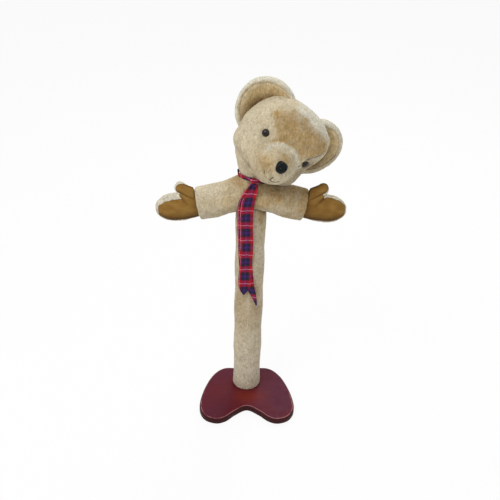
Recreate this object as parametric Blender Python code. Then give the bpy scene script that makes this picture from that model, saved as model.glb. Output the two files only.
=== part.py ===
"""A floor-standing teddy bear: a stuffed bear's head and outstretched arms on a padded post.

The post stands on a stained board with two toe lobes.  A wooden cross bar holds the arms out, so
that clothes can hang on them.  The head sits on a loose linked neck joint and has lolled towards
the bear's left shoulder.

The frame is in metres.  +Z is up, the bear faces -Y and its left hand points along +X.  The origin
is on the post's axis, at the floor.  Run it with:  blender --background --python part.py
"""

import math

import bmesh
import bpy
from mathutils import Matrix, Vector

# Clearances
GAP = 0.0003  # between pieces that touch on the real object
FIT = 0.0004  # around shanks and pins in their holes

# Base board: half of its outline, from the notch between the toes round to the back
BASE_OUTLINE = [
    (0.000, -0.104),
    (0.033, -0.123),
    (0.060, -0.147),
    (0.088, -0.155),
    (0.120, -0.140),
    (0.135, -0.100),
    (0.124, -0.032),
    (0.098, 0.030),
    (0.062, 0.060),
    (0.000, 0.056),
]
OUTLINE_STEPS = 4  # points along the outline between two of those above
BASE_THICK = 0.018
BASE_TOP_ROUND = 0.005
BASE_FOOT_CHAMFER = 0.0012
FELT_THICK = 0.002
FELT_INSET = 0.006

# Post and what covers it
POST_DIA = 0.045
POST_SEAT = 0.004  # how far the post stands into the board
POST_ABOVE_BAR = 0.0175  # post's end above the cross bar's top edge
SLEEVE_DIA = 0.077
PLUSH_THICK = 0.003
SLEEVE_HEM = 0.006  # rounding at the sleeve's foot
POST_CHAMFER = 0.001
BOLT_DIA = 0.008
BOLT_HEAD_DIA = 0.015
BOLT_HEAD_TALL = 0.0053
BOLT_GRIP = 0.055  # length of the bolt in the post
WASHER_DIA = 0.024
WASHER_THICK = 0.0016

# Arms: height of their axis over the floor, and how they droop outwards
ARM_HEIGHT = 0.647
ARM_DROOP_DEG = 12.4
ARM_BEND = 0.020  # half-width of the bend over the post
TORSO_HALF = 0.060
TORSO_OPENING_DIA = 0.036  # where the neck's joint comes out of the fabric
CUFF_REACH = 0.134  # from the post's axis to the cuff
# Distance from the post, half-depth and half-height of the stuffed arms
ARM_SECTIONS = [
    (0.000, 0.0450, 0.0435),
    (0.060, 0.0445, 0.0430),
    (0.098, 0.0425, 0.0430),
    (0.134, 0.0390, 0.0420),
]
CUFF_ROUND = 0.003
BAR_TALL = 0.030
BAR_THICK = 0.014
BAR_SHORT = 0.008  # how far the bar stops short of the cuff
BAR_SCREW_DIA = 0.004
BAR_SCREW_HEAD_DIA = 0.008
BAR_SCREW_LENGTH = 0.036

# Mitts: distance from the cuff, and half-height of the plush back
MITT_SECTIONS = [
    (0.000, 0.0340),
    (0.016, 0.0360),
    (0.040, 0.0390),
    (0.066, 0.0385),
    (0.086, 0.0320),
    (0.100, 0.0210),
    (0.107, 0.0095),
]
MITT_BACK_DEPTH = 0.026
MITT_FULLNESS = 1.08  # 1 is a mitt whose depth follows its height
PALM_DEPTH = 0.018
PALM_INSET = 0.004  # the palm panel is this much smaller all round
MITT_SEAM = -0.006  # the seam's place from front to back
THUMB_ROOT = (0.009, 0.023)  # outwards from the cuff, and over the mitt's axis
THUMB_TIP = (0.047, 0.065)
THUMB_RADIUS = 0.0160
THUMB_ROOT_WIDER = 1.10  # how much thicker the thumb is at its root

# Neck joint: an eye in the post, an oval link and the head's cotter pin
LEAN_DEG = 39.0  # how far the head lolls to its left at rest
PIVOT_RISE = 0.055  # lean axis over the arms' axis
EYE_RADIUS = 0.005  # to the middle of the wire
WIRE_DIA = 0.0024
LINK_REACH = 0.0032  # between the centres of the link's two ends
EYE_SHANK_LENGTH = 0.014
PIN_SHANK_DIA = 0.0036
NECK_RADIUS = 0.031
NECK_WALL = 0.007
NECK_BEND = 0.0345  # radius of the neck's bend
# The neck's foot: depth under its bend, half-width and half-depth
NECK_ROOT = [(0.024, 0.060, 0.040), (0.011, 0.051, 0.037)]
# How far the neck reaches on the side that is stretched, in even steps along the bend
NECK_STRETCH = [0.033, 0.032, 0.034, 0.042, 0.054]
# The same above the bend, by the height in the head's frame
NECK_FLARE = [(0.022, 0.066), (0.034, 0.078), (0.044, 0.086)]
DISC_DIA = 0.048
DISC_THICK = 0.003
PIN_WASHER_DIA = 0.018
PIN_WASHER_THICK = 0.0012
PIN_CURL = 0.0036  # radius of the pin's curled ends
PIN_CURL_DEG = 210.0
PIN_LEG_DIA = 0.0022

# Head, in its own frame: height over the lean axis, half-width, depth to the face and to the back
HEAD_SECTIONS = [
    (0.028, 0.046, 0.042, 0.044),
    (0.035, 0.068, 0.056, 0.060),
    (0.046, 0.087, 0.065, 0.074),
    (0.064, 0.099, 0.071, 0.083),
    (0.090, 0.103, 0.075, 0.088),
    (0.120, 0.103, 0.075, 0.090),
    (0.147, 0.102, 0.072, 0.088),
    (0.171, 0.095, 0.064, 0.080),
    (0.191, 0.080, 0.051, 0.065),
    (0.206, 0.056, 0.034, 0.045),
    (0.214, 0.028, 0.017, 0.022),
]
HEAD_TOP = 0.216
HEAD_SQUARE = 2.25  # 2 is an ellipse, more is squarer
HEAD_FLOOR = 0.002  # fabric under the neck disc
SLUMP_HEIGHT = 0.095  # where its stuffing has sunk towards its right the most
SLUMP_SPREAD = 0.055
SLUMP_LEFT = 0.18  # share by which its left side is flatter there
SLUMP_RIGHT = 0.10  # and its right side fuller
MUZZLE_CENTRE = (0.0, -0.048, 0.081)
MUZZLE_HALF_WIDTH = 0.056
MUZZLE_UP = 0.050
MUZZLE_DOWN = 0.045
MUZZLE_REACH = 0.072
MUZZLE_SQUARE = 2.2
MUZZLE_ROUND_DEG = 95.0  # from its tip to its end inside the head

# Ears: cupped discs, sewn into the sides of the head
EAR_CENTRE = (0.079, 0.029, 0.150)
EAR_RADIUS = 0.071
EAR_TURN_DEG = 12.0  # opening of the cup turned outwards
EAR_RING_SHARES = [0.00, 0.45, 0.70, 0.88, 0.97]  # of the radius
# At those rings, depth of the cup's front, of the seam layer and of the ear's back
EAR_DEPTHS = [
    (0.004, 0.0100, 0.022),
    (0.000, 0.0070, 0.021),
    (-0.006, 0.0020, 0.018),
    (-0.009, 0.0000, 0.012),
    (-0.006, 0.0000, 0.005),
]

# Eyes, nose and mouth
EYE_DIA = 0.018
EYE_DOME = 0.007
EYE_SEAT = 0.0012  # how deep the eye is drawn into the plush
EYE_HEIGHT = 0.125
EYE_ANGLE_DEG = 55.0  # round from the bear's side towards its face
STEM_DIA = 0.004
STEM_LENGTH = 0.015
LOCK_WASHER_DIA = 0.014
LOCK_WASHER_THICK = 0.0015
LOCK_WASHER_DEPTH = 0.004
NOSE_WIDTH = 0.029
NOSE_TALL = 0.025
NOSE_DOME = 0.010
NOSE_RISE_DEG = 20.0
NOSE_SEAT = 0.0030
NOSE_SQUARE = 2.4
NOSE_TAPER = 0.12  # how much wider its top is, as a share
THREAD_DIA = 0.0018
MOUTH_START_DEG = 11.0
MOUTH_DROP_DEG = 27.0
MOUTH_HALF_DEG = 23.0
MOUTH_APART_DEG = 2.5  # from the line down to where each curve starts
MOUTH_SAG_DEG = 2.2
MOUTH_CURL_DEG = 12.0

# Ribbon tied round the neck
RIBBON_WIDTH = 0.034
RIBBON_THICK = 0.0010
COLLAR_TALL = 0.011
COLLAR_THICK = 0.004
COLLAR_EASE = 0.002  # between the collar and the neck's waist
COLLAR_RISE = 0.0095  # its middle over the lean axis, at the bear's right
COLLAR_DROP = 0.020  # how much lower it runs under the head, at the bear's left
RIBBON_SQUARE = 2.6  # of the folded ribbon's section and of the knot
KNOT_SIZE = (0.018, 0.010, 0.015)
KNOT_SIDE = 0.003  # how far round the neck it lies from the front
# Each tail under the knot: across, clearance in front of the torso or of the post's sleeve, depth
# under the arms' axis, and share of the ribbon's width
FRONT_TAIL = [
    (0.001, -0.0025, -0.040, 0.53),
    (-0.004, 0.0025, -0.026, 0.76),
    (-0.010, 0.0070, -0.004, 0.94),
    (-0.013, 0.0070, 0.030, 1.00),
    (-0.013, 0.0090, 0.064, 1.00),
    (-0.011, 0.0075, 0.106, 1.00),
    (-0.011, 0.0065, 0.150, 1.00),
    (-0.012, 0.0065, 0.200, 1.00),
    (-0.013, 0.0070, 0.248, 0.97),
    (-0.015, 0.0075, 0.277, 0.09),
]
BACK_TAIL = [
    (-0.003, -0.0042, -0.040, 0.53),
    (-0.011, 0.0000, -0.026, 0.76),
    (-0.017, 0.0042, -0.004, 0.94),
    (-0.018, 0.0040, 0.030, 1.00),
    (-0.018, 0.0060, 0.064, 1.00),
    (-0.016, 0.0045, 0.106, 1.00),
    (-0.014, 0.0035, 0.150, 1.00),
    (-0.010, 0.0035, 0.200, 1.00),
    (-0.001, 0.0040, 0.245, 0.76),
    (0.012, 0.0055, 0.282, 0.40),
    (0.020, 0.0065, 0.312, 0.09),
]
TAIL_START_SHARE = 0.35  # of the ribbon's width, right under the knot
TAILS_APART = 0.0004  # between the two tails there

# Round pieces: how many sides, and how sharp an edge between their faces is drawn
COARSE = 16
ROUND = 24
SMOOTH = 28
SHARP_EDGE_DEG = 40.0
DOME_LIFTS_DEG = (15, 40, 65)  # rings of the eyes
CAP_LIFTS_DEG = (30, 58, 80)  # rings of the thumbs' tips
NOSE_LIFTS_DEG = (0, 18, 38, 60, 78)
KNOT_LIFTS_DEG = (-60, -30, 0, 30, 60)

# Worked out from the sizes above
POST_RADIUS = POST_DIA / 2
SLEEVE_RADIUS = SLEEVE_DIA / 2
ARM_SLOPE = math.tan(math.radians(ARM_DROOP_DEG))
BASE_FOOT = FELT_THICK + GAP
BASE_TOP = BASE_FOOT + BASE_THICK
POST_FOOT = BASE_TOP - POST_SEAT + GAP
POST_TOP = ARM_HEIGHT + BAR_TALL / 2 + POST_ABOVE_BAR
PIVOT = Vector((0.0, 0.0, ARM_HEIGHT + PIVOT_RISE))
LEAN = math.radians(LEAN_DEG)
WIRE_RADIUS = WIRE_DIA / 2
HOOKED = EYE_RADIUS - WIRE_DIA - GAP  # from an eye's centre to the wire that hooks into it
LINK_FOOT = HOOKED + EYE_RADIUS
NOD_RISE = LINK_FOOT + LINK_REACH
PIN_EYE_RISE = NOD_RISE + HOOKED + EYE_RADIUS
HEAD_FOOT = HEAD_SECTIONS[0][0]
DISC_FOOT = HEAD_FOOT + HEAD_FLOOR + GAP
PIN_WASHER_FOOT = DISC_FOOT + DISC_THICK + GAP
PIN_WASHER_TOP = PIN_WASHER_FOOT + PIN_WASHER_THICK


def clear_scene():
    """Removes whatever the scene holds."""
    for old in list(bpy.data.objects):
        bpy.data.objects.remove(old, do_unlink=True)


def make_material(name, colour, roughness, metallic=0.0):
    """A Principled material of one colour."""
    made = bpy.data.materials.new(name)
    made.use_nodes = True
    shader = made.node_tree.nodes["Principled BSDF"]
    shader.inputs["Base Color"].default_value = (*colour, 1.0)
    shader.inputs["Roughness"].default_value = roughness
    shader.inputs["Metallic"].default_value = metallic
    made.diffuse_color = (*colour, 1.0)
    return made


def make_materials():
    """Every finish of the object, by name."""
    return {
        "plush": make_material("plush", (0.56, 0.40, 0.22), 0.95),
        "pale_plush": make_material("pale_plush", (0.66, 0.52, 0.32), 0.95),
        "suede": make_material("suede", (0.28, 0.16, 0.05), 0.9),
        "stained_wood": make_material("stained_wood", (0.13, 0.025, 0.02), 0.35),
        "bare_wood": make_material("bare_wood", (0.62, 0.44, 0.26), 0.7),
        "foam": make_material("foam", (0.75, 0.70, 0.50), 0.95),
        "felt": make_material("felt", (0.05, 0.12, 0.06), 1.0),
        "steel": make_material("steel", (0.55, 0.55, 0.57), 0.35, 1.0),
        "black_plastic": make_material("black_plastic", (0.01, 0.01, 0.012), 0.15),
        "brown_plastic": make_material("brown_plastic", (0.05, 0.025, 0.015), 0.12),
        "white_plastic": make_material("white_plastic", (0.8, 0.8, 0.78), 0.5),
        "hardboard": make_material("hardboard", (0.30, 0.19, 0.10), 0.8),
        "thread": make_material("thread", (0.02, 0.018, 0.015), 0.8),
        "tartan": make_material("tartan", (0.50, 0.02, 0.05), 0.7),
    }


def add_object(name, mesh_data, material, parent=None, place=None):
    """Puts a finished bmesh in the scene as a named object."""
    bmesh.ops.recalc_face_normals(mesh_data, faces=mesh_data.faces)
    mesh = bpy.data.meshes.new(name)
    mesh_data.to_mesh(mesh)
    mesh_data.free()
    mesh.shade_smooth()
    mesh.set_sharp_from_angle(angle=math.radians(SHARP_EDGE_DEG))
    made = bpy.data.objects.new(name, mesh)
    bpy.context.scene.collection.objects.link(made)
    if material is not None:
        mesh.materials.append(material)
    if parent is not None:
        made.parent = parent
    if place is not None:
        made.matrix_basis = place
    return made


def add_helper(name, mesh_data, parent=None, place=None):
    """A cutter, or a shape that is joined to a piece: it isn't a piece by itself."""
    made = add_object(name, mesh_data, None, parent, place)
    made.hide_render = True
    made.display_type = "WIRE"
    return made


def add_frame(name, place):
    """An empty that carries pieces."""
    made = bpy.data.objects.new(name, None)
    bpy.context.scene.collection.objects.link(made)
    made.matrix_basis = place
    return made


def boolean(target, other, operation):
    """Adds a Boolean modifier to the target."""
    made = target.modifiers.new(f"{operation.lower()}_{other.name}", "BOOLEAN")
    made.operation = operation
    made.object = other
    made.solver = "EXACT"


def cut(target, *cutters):
    """Takes each cutter away from the target."""
    for cutter in cutters:
        boolean(target, cutter, "DIFFERENCE")


def unite(target, *others):
    """Joins each shape to the target."""
    for other in others:
        boolean(target, other, "UNION")


def placed(origin, axis, across=Vector((1, 0, 0))):
    """The matrix that puts a piece made along +Z at origin, along axis."""
    up = Vector(axis).normalized()
    side = (Vector(across) - up * Vector(across).dot(up)).normalized()
    depth = up.cross(side)
    turned = Matrix((side, depth, up)).transposed().to_4x4()
    return Matrix.Translation(Vector(origin)) @ turned


def spun(profile, sides, hollow=False):
    """A turned solid about Z, from points (radius, height); a hollow one closes on itself."""
    made = bmesh.new()
    points = [made.verts.new((radius, 0.0, height)) for radius, height in profile]
    pairs = list(zip(points, points[1:]))
    if hollow:
        pairs.append((points[-1], points[0]))
    edges = [made.edges.new(pair) for pair in pairs]
    bmesh.ops.spin(
        made,
        geom=points + edges,
        cent=(0, 0, 0),
        axis=(0, 0, 1),
        angle=math.tau,
        steps=sides,
    )
    bmesh.ops.remove_doubles(made, verts=made.verts, dist=1e-6)
    return made


def rod(radius, low, high, sides=COARSE):
    """A plain cylinder along Z."""
    return spun([(0, low), (radius, low), (radius, high), (0, high)], sides)


def tube(inner, outer, low, high, sides=ROUND):
    """A plain tube or washer along Z."""
    return spun([(inner, low), (outer, low), (outer, high), (inner, high)], sides, True)


def lofted(rings, looped=False):
    """A solid through rings of points.  A ring of one point is a pole."""
    made = bmesh.new()
    rows = [[made.verts.new(point) for point in ring] for ring in rings]
    pairs = list(zip(rows, rows[1:]))
    if looped:
        pairs.append((rows[-1], rows[0]))
    for low, high in pairs:
        count = max(len(low), len(high))
        for i in range(count):
            j = (i + 1) % count
            corners = []
            for row, at in ((low, i), (low, j), (high, j), (high, i)):
                corner = row[at % len(row)]
                if corner not in corners:
                    corners.append(corner)
            made.faces.new(corners)
    if not looped:
        for row in (rows[0], rows[-1]):
            if len(row) > 2:
                made.faces.new(row)
    return made


def box(low, high):
    """A block between two corners."""
    rings = []
    for z in (low[2], high[2]):
        rings.append(
            [
                Vector((low[0], low[1], z)),
                Vector((high[0], low[1], z)),
                Vector((high[0], high[1], z)),
                Vector((low[0], high[1], z)),
            ]
        )
    return lofted(rings)


def through(rows, steps, closed=False):
    """Points on a smooth curve through the rows, with steps points from each row to the next."""
    count = len(rows)
    spans = count if closed else count - 1
    found = []
    for span in range(spans):
        around = []
        for k in range(span - 1, span + 3):
            around.append(rows[k % count] if closed else rows[min(max(k, 0), count - 1)])
        for step in range(steps):
            t = step / steps
            found.append(tuple(smooth_step(*corner, t) for corner in zip(*around)))
    if not closed:
        found.append(tuple(rows[-1]))
    return found


def smooth_step(before, start, end, after, t):
    """Catmull-Rom interpolation of one number from start to end."""
    slope_in = (end - before) / 2
    slope_out = (after - start) / 2
    rise = end - start
    square = 3 * rise - 2 * slope_in - slope_out
    cube = slope_in + slope_out - 2 * rise
    return start + t * (slope_in + t * (square + t * cube))


def row_at(rows, place):
    """The smooth row of a table at a place of its first column."""
    fine = through(rows, 8)
    for low, high in zip(fine, fine[1:]):
        if low[0] <= place <= high[0]:
            share = (place - low[0]) / (high[0] - low[0])
            return tuple(a + (b - a) * share for a, b in zip(low, high))
    return fine[0] if place < fine[0][0] else fine[-1]


def squared(angle, power):
    """Cosine and sine, made squarer by a power over 2."""
    c, s = math.cos(angle), math.sin(angle)
    return (
        math.copysign(abs(c) ** (2 / power), c),
        math.copysign(abs(s) ** (2 / power), s),
    )


def wire_loop(path, normal, radius, sides=8):
    """A closed ring of wire along a flat closed path."""
    rings = []
    count = len(path)
    for i, point in enumerate(path):
        along = (path[(i + 1) % count] - path[i - 1]).normalized()
        away = along.cross(normal)
        ring = []
        for k in range(sides):
            angle = math.tau * k / sides
            ring.append(point + (away * math.cos(angle) + normal * math.sin(angle)) * radius)
        rings.append(ring)
    return lofted(rings, looped=True)


def wire(path, radius, normal, sides=8):
    """A length of wire along a path that stays about flat across the normal."""
    rings = []
    for i, point in enumerate(path):
        along = (path[min(i + 1, len(path) - 1)] - path[max(i - 1, 0)]).normalized()
        side = along.cross(normal).normalized()
        up = side.cross(along)
        ring = []
        for k in range(sides):
            angle = math.tau * k / sides
            ring.append(point + (side * math.cos(angle) + up * math.sin(angle)) * radius)
        rings.append(ring)
    return lofted(rings)


# Base


def base_outline(inset):
    """The board's outline seen from above, drawn in by an inset."""
    half = BASE_OUTLINE
    other = [(-x, y) for x, y in reversed(half[1:-1])]
    points = [Vector(p) for p in through(half + other, OUTLINE_STEPS, closed=True)]
    drawn = []
    for i, point in enumerate(points):
        along = (points[(i + 1) % len(points)] - points[i - 1]).normalized()
        drawn.append(point + Vector((-along.y, along.x)) * inset)
    return drawn


def plate(levels):
    """A flat board through levels (inset, height)."""
    rings = []
    for inset, height in levels:
        rings.append([Vector((p.x, p.y, height)) for p in base_outline(inset)])
    return lofted(rings)


def rounded_levels(low, high, top_round, chamfer):
    """Levels of a board with a chamfered foot and a rounded top edge."""
    levels = [(chamfer, low), (0.0, low + chamfer)]
    steps = 3
    for i in range(steps + 1):
        angle = math.pi / 2 * i / steps
        inset = top_round * (1 - math.cos(angle))
        levels.append((inset, high - top_round * (1 - math.sin(angle))))
    return levels


def make_base(finish):
    """The felt, the board with its bolt, and the post's seat."""
    recess_top = BASE_FOOT + GAP + BOLT_HEAD_TALL + WASHER_THICK + 2 * GAP
    add_object(
        "base_felt",
        plate([(FELT_INSET, 0.0), (FELT_INSET, FELT_THICK)]),
        finish["felt"],
    )
    board = add_object(
        "base_board",
        plate(rounded_levels(BASE_FOOT, BASE_TOP, BASE_TOP_ROUND, BASE_FOOT_CHAMFER)),
        finish["stained_wood"],
    )
    seat = rod(POST_RADIUS + FIT, BASE_TOP - POST_SEAT, BASE_TOP + POST_SEAT, ROUND)
    hole = rod(BOLT_DIA / 2 + FIT, BASE_FOOT - GAP, BASE_TOP)
    recess = rod(WASHER_DIA / 2 + FIT, BASE_FOOT - BASE_THICK, recess_top, ROUND)
    cut(
        board,
        add_helper("board_post_seat", seat),
        add_helper("board_bolt_hole", hole),
        add_helper("board_bolt_recess", recess),
    )
    washer_top = recess_top - GAP
    washer_foot = washer_top - WASHER_THICK
    add_object(
        "post_washer",
        tube(BOLT_DIA / 2 + FIT, WASHER_DIA / 2, washer_foot, washer_top),
        finish["steel"],
    )
    head_top = washer_foot - GAP
    bolt = add_object(
        "post_bolt",
        rod(BOLT_HEAD_DIA / 2, head_top - BOLT_HEAD_TALL, head_top, 6),
        finish["steel"],
    )
    tip = POST_FOOT + BOLT_GRIP
    point = BOLT_DIA
    radius = BOLT_DIA / 2
    start = head_top - BOLT_HEAD_TALL / 2
    shank = spun([(0, start), (radius, start), (radius, tip - point), (0, tip)], COARSE)
    unite(bolt, add_helper("bolt_shank", shank))


# Arms' middle line and sections


def axis_height(reach):
    """Height of the arms' middle line at a distance from the post."""
    bend = math.hypot(reach, ARM_BEND) - ARM_BEND
    return ARM_HEIGHT - ARM_SLOPE * bend


def axis_tilt(reach):
    """How much the arms' middle line slopes there, as an angle."""
    return math.atan(ARM_SLOPE * reach / math.hypot(reach, ARM_BEND))


def arm_ring(reach, tilt, grow=0.0, share=1.0):
    """One section across the arms at a signed distance from the post."""
    _, depth, height = row_at(ARM_SECTIONS, abs(reach))
    depth = depth * share + grow
    height = height * share + grow
    centre = Vector((reach, 0.0, axis_height(reach)))
    up = Vector((math.sin(tilt), 0.0, math.cos(tilt)))
    ring = []
    for k in range(SMOOTH):
        angle = math.tau * k / SMOOTH
        across = Vector((0.0, math.cos(angle) * depth, 0.0))
        ring.append(centre + across + up * math.sin(angle) * height)
    return ring


def torso_form(grow=0.0):
    """The stuffed middle of the body, across the top of the post."""
    steps = 8
    rings = []
    for i in range(steps + 1):
        reach = (2 * i / steps - 1) * (TORSO_HALF + grow)
        rings.append(arm_ring(reach, 0.0, grow))
    return lofted(rings)


def arm_form(side, grow=0.0):
    """One stuffed arm, from the torso to the cuff, or a shape grown all round it."""
    start = TORSO_HALF + GAP - grow
    cuff = CUFF_REACH + grow
    steps = 4
    rings = []
    for i in range(steps + 1):
        share = i / steps
        reach = start + (cuff - CUFF_ROUND - start) * share
        tilt = side * axis_tilt(CUFF_REACH) * share
        rings.append(arm_ring(side * reach, tilt, grow))
    tilt = side * axis_tilt(CUFF_REACH)
    inwards = 1 - CUFF_ROUND / ARM_SECTIONS[-1][2]
    rings.append(arm_ring(side * cuff, tilt, grow, inwards))
    return lofted(rings)


def bar_form(reach, grow=0.0):
    """The cross bar, bent like a coat hanger, out to a distance on both sides."""
    steps = 12
    half_tall = BAR_TALL / 2 + grow
    half_thick = BAR_THICK / 2 + grow
    rings = []
    for i in range(steps + 1):
        x = (2 * i / steps - 1) * reach
        z = axis_height(x)
        rings.append(
            [
                Vector((x, -half_thick, z - half_tall)),
                Vector((x, half_thick, z - half_tall)),
                Vector((x, half_thick, z + half_tall)),
                Vector((x, -half_thick, z + half_tall)),
            ]
        )
    return lofted(rings)


def make_post(finish, torso_cutter, bar_cutter):
    """The wooden post, its foam wrap and its plush sleeve."""
    post = add_object(
        "post",
        spun(
            [
                (0, POST_FOOT),
                (POST_RADIUS, POST_FOOT),
                (POST_RADIUS, POST_TOP - POST_CHAMFER),
                (POST_RADIUS - POST_CHAMFER, POST_TOP),
                (0, POST_TOP),
            ],
            SMOOTH,
        ),
        finish["bare_wood"],
    )
    bolt_hole = rod(BOLT_DIA / 2 + FIT, POST_FOOT - BASE_THICK, POST_FOOT + BOLT_GRIP + FIT)
    eye_hole_foot = POST_TOP - EYE_SHANK_LENGTH - FIT
    eye_hole = rod(WIRE_RADIUS + FIT, eye_hole_foot, POST_TOP + EYE_SHANK_LENGTH, 12)
    cut(
        post,
        add_helper("post_bolt_hole", bolt_hole),
        add_helper("post_eye_hole", eye_hole),
        bar_cutter,
    )
    foot = BASE_TOP + GAP
    top = ARM_HEIGHT
    inner = POST_RADIUS + GAP
    outer = SLEEVE_RADIUS - PLUSH_THICK - GAP
    padding = add_object("post_padding", tube(inner, outer, foot, top, SMOOTH), finish["foam"])
    cut(padding, torso_cutter)
    inner = SLEEVE_RADIUS - PLUSH_THICK
    hem = [(inner, foot), (SLEEVE_RADIUS - SLEEVE_HEM / 2, foot)]
    hem.append((SLEEVE_RADIUS - SLEEVE_HEM / 8, foot + SLEEVE_HEM / 3))
    hem.append((SLEEVE_RADIUS, foot + SLEEVE_HEM))
    sleeve = add_object(
        "post_sleeve",
        spun(hem + [(SLEEVE_RADIUS, top), (inner, top)], SMOOTH, True),
        finish["plush"],
    )
    cut(sleeve, torso_cutter)


def make_body(finish):
    """The torso, the arms and the cross bar inside them."""
    torso_cutter = add_helper("torso_outline", torso_form(GAP))
    bar_cutter = add_helper("bar_slot", bar_form(CUFF_REACH + BAR_THICK, FIT))
    make_post(finish, torso_cutter, bar_cutter)
    bar = add_object("cross_bar", bar_form(CUFF_REACH - BAR_SHORT), finish["bare_wood"])
    torso = add_object("torso", torso_form(), finish["plush"])
    bore = rod(POST_RADIUS + GAP, ARM_HEIGHT - SLEEVE_DIA, POST_TOP + GAP, SMOOTH)
    mouth = rod(TORSO_OPENING_DIA / 2, POST_TOP, POST_TOP + SLEEVE_DIA, ROUND)
    cut(
        torso,
        add_helper("torso_bore", bore),
        add_helper("torso_neck_opening", mouth),
        bar_cutter,
    )
    for side, name in ((1, "left"), (-1, "right")):
        arm = add_object(f"{name}_arm", arm_form(side), finish["plush"])
        cut(arm, bar_cutter)
    radius = BAR_SCREW_DIA / 2
    head_radius = BAR_SCREW_HEAD_DIA / 2
    head_tall = head_radius - radius
    length = BAR_SCREW_LENGTH
    front = placed((0.0, -POST_RADIUS + 2 * GAP, ARM_HEIGHT), (0, 1, 0))
    shape = [(0, 0), (head_radius, 0), (radius, head_tall), (radius, length - 2 * radius)]
    add_object(
        "cross_bar_screw",
        spun(shape + [(0, length)], COARSE),
        finish["steel"],
        place=front,
    )
    wide, thick = head_radius + FIT, radius + FIT
    back = -POST_DIA
    hole = [(0, back), (wide, back), (wide, GAP), (thick, head_tall + 2 * GAP)]
    hole += [(thick, length + FIT), (0, length + FIT)]
    screw_hole = add_helper("bar_screw_hole", spun(hole, COARSE), place=front)
    cut(bar, screw_hole)
    cut(bpy.data.objects["post"], screw_hole)
    return torso_cutter


# Mitts


def mitt_point(side, out, deep, over):
    """A point of a mitt: out from the cuff, front to back, and over its middle line."""
    slope = math.tan(axis_tilt(CUFF_REACH))
    length = MITT_SECTIONS[-1][0]
    drop = slope * (out - out * out / (2 * length))
    tilt = math.atan(slope * max(0.0, 1 - out / length))
    x = CUFF_REACH + GAP + out + over * math.sin(tilt)
    z = axis_height(CUFF_REACH) - drop + over * math.cos(tilt)
    return Vector((side * x, deep, z))


def mitt_form(side, depth, inset):
    """The flattened hand of a mitt, round about its seam."""
    rings = []
    for out, half in through(MITT_SECTIONS, 2):
        height = max(half - inset, half / 3)
        deep = depth * min(1.0, height / (MITT_SECTIONS[2][1] - inset) * MITT_FULLNESS)
        ring = []
        for k in range(ROUND):
            angle = math.tau * k / ROUND
            across = MITT_SEAM + math.cos(angle) * deep
            ring.append(mitt_point(side, out, across, math.sin(angle) * height))
        rings.append(ring)
    return lofted(rings)


def thumb_form(side, depth, radius):
    """The thumb: a round-ended finger that points up and outwards."""
    root = Vector(THUMB_ROOT)
    tip = Vector(THUMB_TIP) - (Vector(THUMB_TIP) - root).normalized() * THUMB_RADIUS
    along = (tip - root).normalized()
    upwards = Vector((-along.y, along.x))
    stations = [(0.0, THUMB_ROOT_WIDER), (0.5, (1 + THUMB_ROOT_WIDER) / 2), (1.0, 1.0)]
    rows = [(root.lerp(tip, share), size * radius) for share, size in stations]
    for lift in CAP_LIFTS_DEG:
        turn = math.radians(lift)
        rows.append((tip + along * math.sin(turn) * radius, math.cos(turn) * radius))
    rings = []
    for centre, size in rows:
        ring = []
        for k in range(COARSE):
            angle = math.tau * k / COARSE
            spot = centre + upwards * math.sin(angle) * size
            across = MITT_SEAM + math.cos(angle) * size * depth / THUMB_RADIUS
            ring.append(mitt_point(side, spot.x, across, spot.y))
        rings.append(ring)
    return lofted(rings)


def make_mitts(finish):
    """Each mitt: a suede palm in front of a plush back."""
    reach = CUFF_REACH + 2 * MITT_SECTIONS[-1][0]
    tall = 2 * SLEEVE_DIA
    low = Vector((-reach, -SLEEVE_DIA, ARM_HEIGHT - tall))
    high = Vector((reach, SLEEVE_DIA, ARM_HEIGHT + tall))
    behind = box((low.x, MITT_SEAM - GAP / 2, low.z), high)
    before = box(low, (high.x, MITT_SEAM + GAP / 2, high.z))
    behind_seam = add_helper("behind_the_seam", behind)
    before_seam = add_helper("before_the_seam", before)
    for side, name in ((1, "left"), (-1, "right")):
        cuff = add_helper(f"{name}_arm_outline", arm_form(side, GAP))
        palm = add_object(
            f"{name}_palm", mitt_form(side, PALM_DEPTH, PALM_INSET), finish["suede"]
        )
        thumb = thumb_form(side, THUMB_RADIUS - PALM_INSET / 2, THUMB_RADIUS - PALM_INSET)
        unite(palm, add_helper(f"{name}_palm_thumb", thumb))
        cut(palm, behind_seam, cuff)
        back = add_object(
            f"{name}_mitt_back", mitt_form(side, MITT_BACK_DEPTH, 0.0), finish["plush"]
        )
        thumb = thumb_form(side, THUMB_RADIUS, THUMB_RADIUS)
        unite(back, add_helper(f"{name}_back_thumb", thumb))
        cut(back, before_seam, cuff)


# Neck


def neck_spot(angle):
    """The middle of the neck where it has bent by an angle."""
    start = PIVOT - Vector((0, 0, NECK_BEND * math.tan(LEAN / 2)))
    out = NECK_BEND * (1 - math.cos(angle))
    return start + Vector((out, 0, NECK_BEND * math.sin(angle)))


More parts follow.
